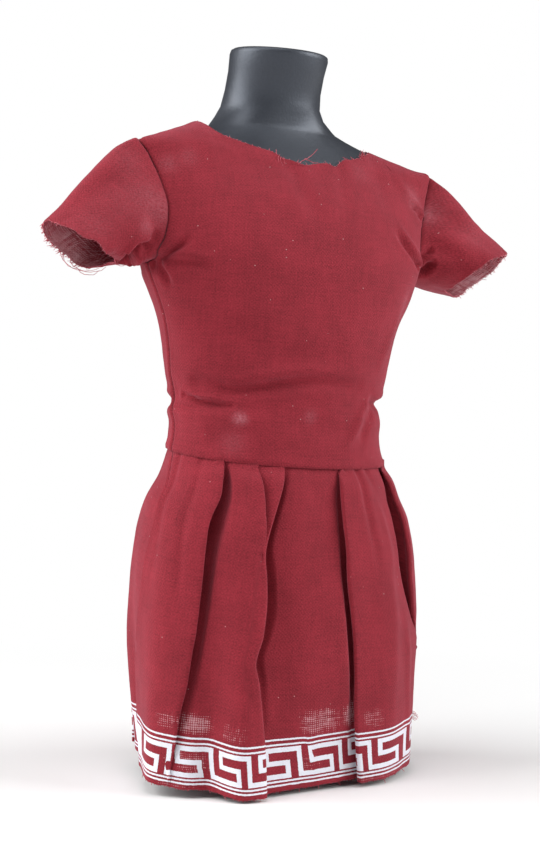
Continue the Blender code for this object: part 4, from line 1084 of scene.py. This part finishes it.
def skirt_grid(body_side):
    """Outer face of the skirt's front or back, its columns' panels, and its points' angles."""
    counts = []
    points, panels, _ = skirt_section(body_side, 0.5, [8] * (len(FOLDS[body_side]) + 1))
    for k in range(len(FOLDS[body_side]) + 1):
        width = float(np.linalg.norm(np.diff(points[panels == k], axis=0), axis=1).sum())
        counts.append(max(4, round(width / SKIRT_STEP)))
    rows, row_angles = [], []
    for drop in DROPS:
        points, panels, angles = skirt_section(body_side, float(drop), counts)
        z = WAIST_Z + (HEM_Z - WAIST_Z) * drop
        rows.append(np.column_stack((points, z + FRONT_SAG * points[:, 1]
                                     - (1.0 - drop) * WAIST_LEAN * points[:, 0])))
        row_angles.append(angles)
    return np.array(rows), panels, np.array(row_angles)


def panel_shift(along, panels):
    """What moves each row's distances so that the middles of its panels lie above each other."""
    own = [np.where(panels == k)[0] for k in range(panels.max() + 1)]
    middles = [int(np.median(columns)) for columns in own]
    ends = np.array([(columns[0], columns[-1]) for columns in own]).ravel()
    shifts = np.repeat(along[BORDER_ROW][middles] - along[:, middles], 2, axis=1)
    return np.array([np.interp(np.arange(along.shape[1]), ends, shift) for shift in shifts])


printed = woven_cotton("dark red cotton with printed border", printed_key)
skirts = {}
for body_side in ("front", "back"):
    grid, panels, angles = skirt_grid(body_side)
    normals = outward(grid)
    from_hem, along = lengths(grid, 0), lengths(grid, 1)
    sides = np.minimum(along, along[:, -1:] - along)
    out = 0.8 * seam_roll(sides) * (DROPS[:, None] > 0.02)
    out += 0.12 * lumps(grid, 8.0, 11) + 0.05 * lumps(grid, 2.6, 12)
    shape = grid + out[..., None] * normals
    edge = np.exp(-(from_hem / 1.0) ** 2)
    shape[..., 2] += 0.18 * edge * lumps(grid, 1.2, 13)
    hem_run = np.tile(along[BORDER_ROW], (len(grid), 1))
    if body_side == "back":
        # The back's corner is drawn up beside the wearer's right side seam.
        near_seam = np.clip((angles - 248.0) / 17.0, 0.0, 1.0) ** 2
        shape[..., 2] += 1.9 * near_seam * np.exp(-(from_hem / 14.0) ** 2)
    shown = panels >= 0
    raw_edges["skirt_" + body_side] = shape[0, shown], shape[2, shown], normals[0, shown]
    weave_run = along + panel_shift(along, panels)
    cut = np.stack((weave_run, from_hem), -1)
    key = np.interp(hem_run, BORDER[body_side]["along"], BORDER[body_side]["repeat"])
    # Where painted light shows through the front's loose weave.
    sheer_backlight = np.zeros(grid.shape[:2])
    if body_side == "front":
        for across, above, half_wide, half_high, amount in OPEN_PLACES:
            sheer_backlight = np.maximum(sheer_backlight, amount * np.exp(-((hem_run - across) / half_wide) ** 4
                                                      - ((from_hem - above) / half_high) ** 4))
    seams = np.maximum(seam_line(sides), 0.8 * seam_line(from_hem[-1:] - from_hem - 1.0))
    skirts[body_side] = cloth_piece(
        "skirt_cloth_" + body_side, shape, cut,
        {"chalk": np.zeros(grid.shape[:2]), "seam": seams, "sheer_backlight": sheer_backlight, "key": key}, printed)
    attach(skirts[body_side], "root")
    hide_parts("skirt_" + body_side)

# Frayed edges: the neckline, cuffs and hem are cut and not hemmed, so short ends of yarn stand out
# of them, and longer yarns have come loose and curl: under the right cuff and at the neckline.
YARN = 0.085               # half the thickness of a loose yarn
LIT_YARN_DARK = "#B03A49"
LIT_YARN_LIGHT = "#DB7F8A"
# Loose yarn is painted paler and pinker than the cloth of the same cotton: a painted highlight,
# so that the thin yarns show lit and not dark.
loose = bpy.data.materials.new("loose dark red cotton yarn")
loose.use_nodes = True
loose_place = add_node(loose, "ShaderNodeTexCoord").outputs["Object"]
loose_noise = add_node(loose, "ShaderNodeTexNoise",
                       {"Vector": loose_place, "Scale": 1 / (0.8 * MM), "Detail": 2.0})
loose_blend = add_node(loose, "ShaderNodeMapRange",
                       {"Value": loose_noise.outputs[0], 1: 0.3, 2: 0.7})
loose_tone = add_node(loose, "ShaderNodeMix", {"Factor": loose_blend.outputs[0],
                                               "A": linear(LIT_YARN_DARK), "B": linear(LIT_YARN_LIGHT)},
                      data_type="RGBA")
loose_relief = add_node(loose, "ShaderNodeBump", {"Height": loose_noise.outputs[0], "Strength": 0.4,
                                                  "Distance": 0.05 * MM})
loose_shader = loose.node_tree.nodes["Principled BSDF"]
loose.node_tree.links.new(loose_tone.outputs["Result"], loose_shader.inputs["Base Color"])
loose.node_tree.links.new(loose_relief.outputs[0], loose_shader.inputs["Normal"])
loose_shader.inputs["Roughness"].default_value = 0.85
loose_shader.inputs["Specular IOR Level"].default_value = 0.25
loose_shader.inputs["Sheen Weight"].default_value = 0.3
loose_shader.inputs["Sheen Tint"].default_value = linear(SHEEN_TINT)


def loose_yarns(name, paths):
    """One mesh of yarns that follow their paths, each a three-sided tube that thins to its end."""
    points, faces = [], []
    for path in paths:
        path = np.asarray(path, float)
        along = np.gradient(path, axis=0)
        along /= np.maximum(np.linalg.norm(along, axis=1, keepdims=True), 1e-9)
        beside = np.cross(along, (0.31, 0.52, 0.80))
        beside /= np.maximum(np.linalg.norm(beside, axis=1, keepdims=True), 1e-9)
        above = np.cross(along, beside)
        first = len(points)
        for k, centre in enumerate(path):
            radius = YARN * (1.0 - 0.45 * k / (len(path) - 1))
            for turn in (0.0, 2.0 * math.pi / 3, 4.0 * math.pi / 3):
                points.append(centre + radius * (math.cos(turn) * beside[k]
                                                 + math.sin(turn) * above[k]))
        for k in range(len(path) - 1):
            ring = first + 3 * k
            faces += [(ring + j, ring + (j + 1) % 3, ring + 3 + (j + 1) % 3, ring + 3 + j)
                      for j in range(3)]
        last = first + 3 * (len(path) - 1)
        faces += [(first + 2, first + 1, first), (last, last + 1, last + 2)]
    mesh = bpy.data.meshes.new(name)
    mesh.from_pydata([tuple(point * MM) for point in points], [], faces)
    mesh.materials.append(loose)
    mesh.shade_smooth()
    piece = bpy.data.objects.new(name, mesh)
    bpy.context.collection.objects.link(piece)
    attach(piece, "root")
    return piece


def fringe(raw, spacing, reach, seed, wild):
    """Paths of short yarn ends along a raw edge, which is given with points further in and its
    normals; reach gives the longest end at each point of the edge."""
    edge, inner, out = raw
    chance = random.Random(seed)
    run = np.concatenate(([0.0], np.cumsum(np.linalg.norm(np.diff(edge, axis=0), axis=1))))
    inward = inner - edge
    inward /= np.maximum(np.linalg.norm(inward, axis=1, keepdims=True), 1e-9)
    side = np.gradient(edge, axis=0)
    side /= np.maximum(np.linalg.norm(side, axis=1, keepdims=True), 1e-9)
    paths, at = [], 0.0
    while at < run[-1]:
        at += spacing * (0.4 + 1.2 * chance.random())
        here, towards, beside, away = ([np.interp(at, run, values[:, k]) for k in range(3)]
                                       for values in (edge, inward, side, out))
        here, towards, beside, away = (np.array(v) for v in (here, towards, beside, away))
        length = float(np.interp(at, run, reach)) * (0.25 + 0.75 * chance.random() ** 1.5)
        lean = (chance.random() - 0.5) * 2.0 * wild
        lift = (chance.random() - 0.5) * wild
        bend = (chance.random() - 0.5) * 1.2
        start = here - CLOTH / 2 * away + 0.2 * towards
        paths.append([start - towards * (0.2 + length) * t
                      + beside * length * (lean * t + bend * t ** 2)
                      + away * length * lift * t for t in (0.0, 0.4, 0.75, 1.0)])
    return paths


def curled(points, seed):
    """A longer yarn on a smooth, slightly crimped curve through its points."""
    points = np.array(points, float)
    chance = random.Random(seed)
    fine = np.linspace(0, len(points) - 1, 6 * len(points) - 5)
    path = np.stack([read({"k": np.arange(len(points)), "v": points[:, k]}, "v", fine)
                     for k in range(3)], -1)
    return path + np.array([[(chance.random() - 0.5) * 0.12 for _ in range(3)] for _ in path])


for body_side in ("front", "back"):
    raw = raw_edges["bodice_" + body_side]
    reach = 0.28 + 0.2 * np.sin(np.arange(len(raw[0])) * 0.9) ** 2
    paths = fringe(raw, 0.26, reach, 21 if body_side == "front" else 22, 1.4)
    paths += fringe(raw, 1.6, 2.0 * reach, 23, 1.6)
    if body_side == "front":
        paths += [curled(points, k) for k, points in enumerate((
            ((-1.0, -9.3, 123.2), (-0.1, -9.9, 124.0), (0.8, -10.4, 124.6), (1.6, -10.8, 125.3),
             (2.3, -11.2, 126.3)),
            ((0.4, -9.6, 124.4), (1.3, -10.0, 124.0), (2.1, -10.4, 123.7), (2.8, -10.6, 123.8)),
            ((-4.6, -8.5, 124.5), (-4.7, -8.9, 123.6), (-4.4, -9.2, 122.8), (-4.6, -9.4, 122.2)),
            ((-4.4, -8.5, 124.5), (-4.0, -9.1, 123.8), (-4.1, -9.2, 123.0)),
            ((-4.9, -8.5, 124.6), (-5.3, -8.9, 124.1), (-5.2, -9.0, 123.2)),
            ((15.1, -6.6, 126.2), (15.4, -6.9, 127.2), (15.0, -6.7, 128.1)),
            ((15.2, -6.6, 126.0), (15.5, -6.9, 127.0), (15.3, -6.8, 127.9)),
            ((15.3, -6.6, 126.2), (15.6, -6.9, 127.1), (15.4, -6.7, 127.7)),
            ((15.0, -6.6, 126.2), (15.2, -6.9, 127.0), (15.3, -6.8, 127.6)),
            ((15.4, -6.6, 126.1), (15.7, -6.8, 126.9), (15.8, -6.7, 127.6)),
            ((14.9, -6.6, 126.1), (15.0, -6.9, 126.8), (15.2, -6.8, 127.4)),
            ((15.6, -6.3, 126.3), (16.0, -6.7, 127.2), (16.1, -6.7, 128.0)),
            ((15.8, -6.3, 126.4), (15.5, -6.8, 127.4), (15.7, -6.6, 128.3)),
            ((15.2, -6.4, 126.3), (14.8, -6.8, 127.0), (14.9, -6.8, 127.6))))]
    loose_yarns("frayed_neckline_" + body_side, paths)
for name in CUFFS:
    raw = raw_edges["sleeve_" + name]
    angles = np.arange(len(raw[0])) * 360.0 / (len(raw[0]) - 1)
    if name == "left":
        angles = 360.0 - angles
    far = np.clip(np.sin(np.radians(angles - 190.0)), 0.0, 1.0)
    paths = fringe(raw, 0.26, 0.30 + (0.75 if name == "right" else 0.25) * far, 31, 0.8)
    paths += fringe(raw, 1.1, 0.5 + 0.6 * far, 32, 1.6)
    if name == "right":
        paths += [curled(points, 10 + k) for k, points in enumerate((
            ((-44.0, 8.8, 105.0), (-43.8, 8.7, 103.6), (-43.0, 8.2, 102.3), (-41.7, 7.6, 101.3),
             (-40.0, 6.7, 100.8), (-38.4, 5.8, 100.9), (-37.2, 5.2, 101.4)),
            ((-42.3, 7.9, 103.7), (-41.9, 7.7, 102.1), (-40.5, 6.9, 101.0), (-38.8, 6.0, 100.6),
             (-36.9, 5.0, 100.9), (-36.0, 4.5, 101.6)),
            ((-37.6, -4.0, 102.4), (-36.9, -3.0, 101.5), (-35.4, -2.2, 101.3), (-34.0, -1.6, 101.7),
             (-32.8, -1.2, 102.3)),
            ((-43.3, 8.4, 104.2), (-43.2, 8.6, 102.8), (-42.2, 8.2, 101.6), (-40.9, 7.4, 101.2)),
            ((-46.1, 9.0, 106.7), (-45.4, 9.2, 105.6), (-44.6, 9.0, 105.2), (-43.5, 8.5, 104.6)),
            ((-41.0, 7.6, 101.6), (-39.9, 7.2, 100.3), (-38.0, 6.2, 100.1), (-37.0, 5.6, 101.0))))]
    loose_yarns("frayed_cuff_" + name, paths)
for body_side in ("front", "back"):
    raw = raw_edges["skirt_" + body_side]
    reach = np.full(len(raw[0]), 0.28)
    paths = fringe(raw, 0.42, reach, 41 if body_side == "front" else 42, 0.6)
    paths += fringe(raw, 3.0, 3.0 * reach, 43, 1.5)
    # A tuft of yarns stands out of the border at the wearer's left.
    if body_side == "front":
        paths += [curled(points, 30 + k) for k, points in enumerate((
            ((27.2, -10.9, 12.6), (27.7, -11.2, 12.4), (28.0, -11.3, 12.0)),
            ((27.2, -10.9, 12.3), (27.8, -11.2, 12.1), (28.3, -11.5, 11.7)),
            ((27.2, -10.9, 12.1), (27.9, -11.3, 11.8), (28.4, -11.5, 11.4)),
            ((27.2, -10.9, 11.8), (27.9, -11.3, 11.6), (28.4, -11.5, 11.1)),
            ((27.2, -10.9, 11.6), (27.8, -11.2, 11.3), (28.2, -11.4, 10.9)),
            ((27.2, -10.9, 11.3), (27.7, -11.2, 11.1), (28.1, -11.4, 10.8)),
            ((27.2, -10.9, 11.0), (27.5, -11.1, 10.9), (27.9, -11.3, 10.6))))]
    loose_yarns("frayed_hem_" + body_side, paths)

# Studio: a plain pale floor and soft lights, the largest on the viewer's left. The floor is matt
# white paper that turns to a plain white glow away from the object, so that no far edge shows.
PAPER = "#F7F7F7"
GLOW_START, GLOW_FULL = 0.05, 0.20  # metres from the middle of the floor
bpy.ops.mesh.primitive_plane_add(size=4.0, location=(0.0, 0.0, 0.0))
floor = bpy.context.object
floor.name = "studio_floor"
paper = bpy.data.materials.new("matt white paper")
paper.use_nodes = True
paper_shader = paper.node_tree.nodes["Principled BSDF"]
paper_shader.inputs["Base Color"].default_value = linear(PAPER)
paper_shader.inputs["Roughness"].default_value = 0.95
paper_place = add_node(paper, "ShaderNodeTexCoord").outputs["Object"]
paper_radius = add_node(paper, "ShaderNodeVectorMath", {0: paper_place}, operation="LENGTH")
paper_far = add_node(paper, "ShaderNodeMapRange", {"Value": paper_radius.outputs["Value"],
                                                   1: GLOW_START, 2: GLOW_FULL},
                     interpolation_type="SMOOTHSTEP")
paper_glow = add_node(paper, "ShaderNodeEmission", {"Color": (1.0, 1.0, 1.0, 1.0)})
paper_mix = add_node(paper, "ShaderNodeMixShader", {0: paper_far.outputs[0],
                                                    1: paper_shader.outputs[0],
                                                    2: paper_glow.outputs[0]})
paper.node_tree.links.new(paper_mix.outputs[0],
                          paper.node_tree.nodes["Material Output"].inputs["Surface"])
floor.data.materials.append(paper)

# Distances and sizes of the lights are in metres, and their azimuths start at the camera's.
Light = namedtuple("Light", "name azimuth elevation distance size power")
AIM = Vector((0.0, 0.0, 0.075))
for light in (Light("softbox left", -76.0, 28.0, 0.62, 0.55, 4.8),
              Light("softbox right", 82.0, 26.0, 0.62, 0.45, 3.4),
              Light("softbox above", -12.0, 66.0, 0.75, 0.45, 2.2)):
    turn = math.radians(VIEW_AZIMUTH + light.azimuth)
    up = math.radians(light.elevation)
    towards = Vector((math.sin(turn) * math.cos(up), -math.cos(turn) * math.cos(up), math.sin(up)))
    bpy.ops.object.light_add(type="AREA", location=AIM + light.distance * towards)
    lamp = bpy.context.object
    lamp.name = light.name
    lamp.rotation_mode = "QUATERNION"
    lamp.rotation_quaternion = towards.to_track_quat("Z", "Y")
    lamp.data.size = light.size
    lamp.data.energy = light.power
world = bpy.context.scene.world or bpy.data.worlds.new("studio")
bpy.context.scene.world = world
world.use_nodes = True
sky = world.node_tree.nodes["Background"]
sky.inputs["Color"].default_value = (1.0, 1.0, 1.0, 1.0)
rays = add_node(world, "ShaderNodeLightPath")
level = add_node(world, "ShaderNodeMapRange", {"Value": rays.outputs["Is Camera Ray"],
                                               "To Min": 0.1, "To Max": 1.0})
world.node_tree.links.new(level.outputs[0], sky.inputs["Strength"])
bpy.context.scene.view_settings.view_transform = "Standard"
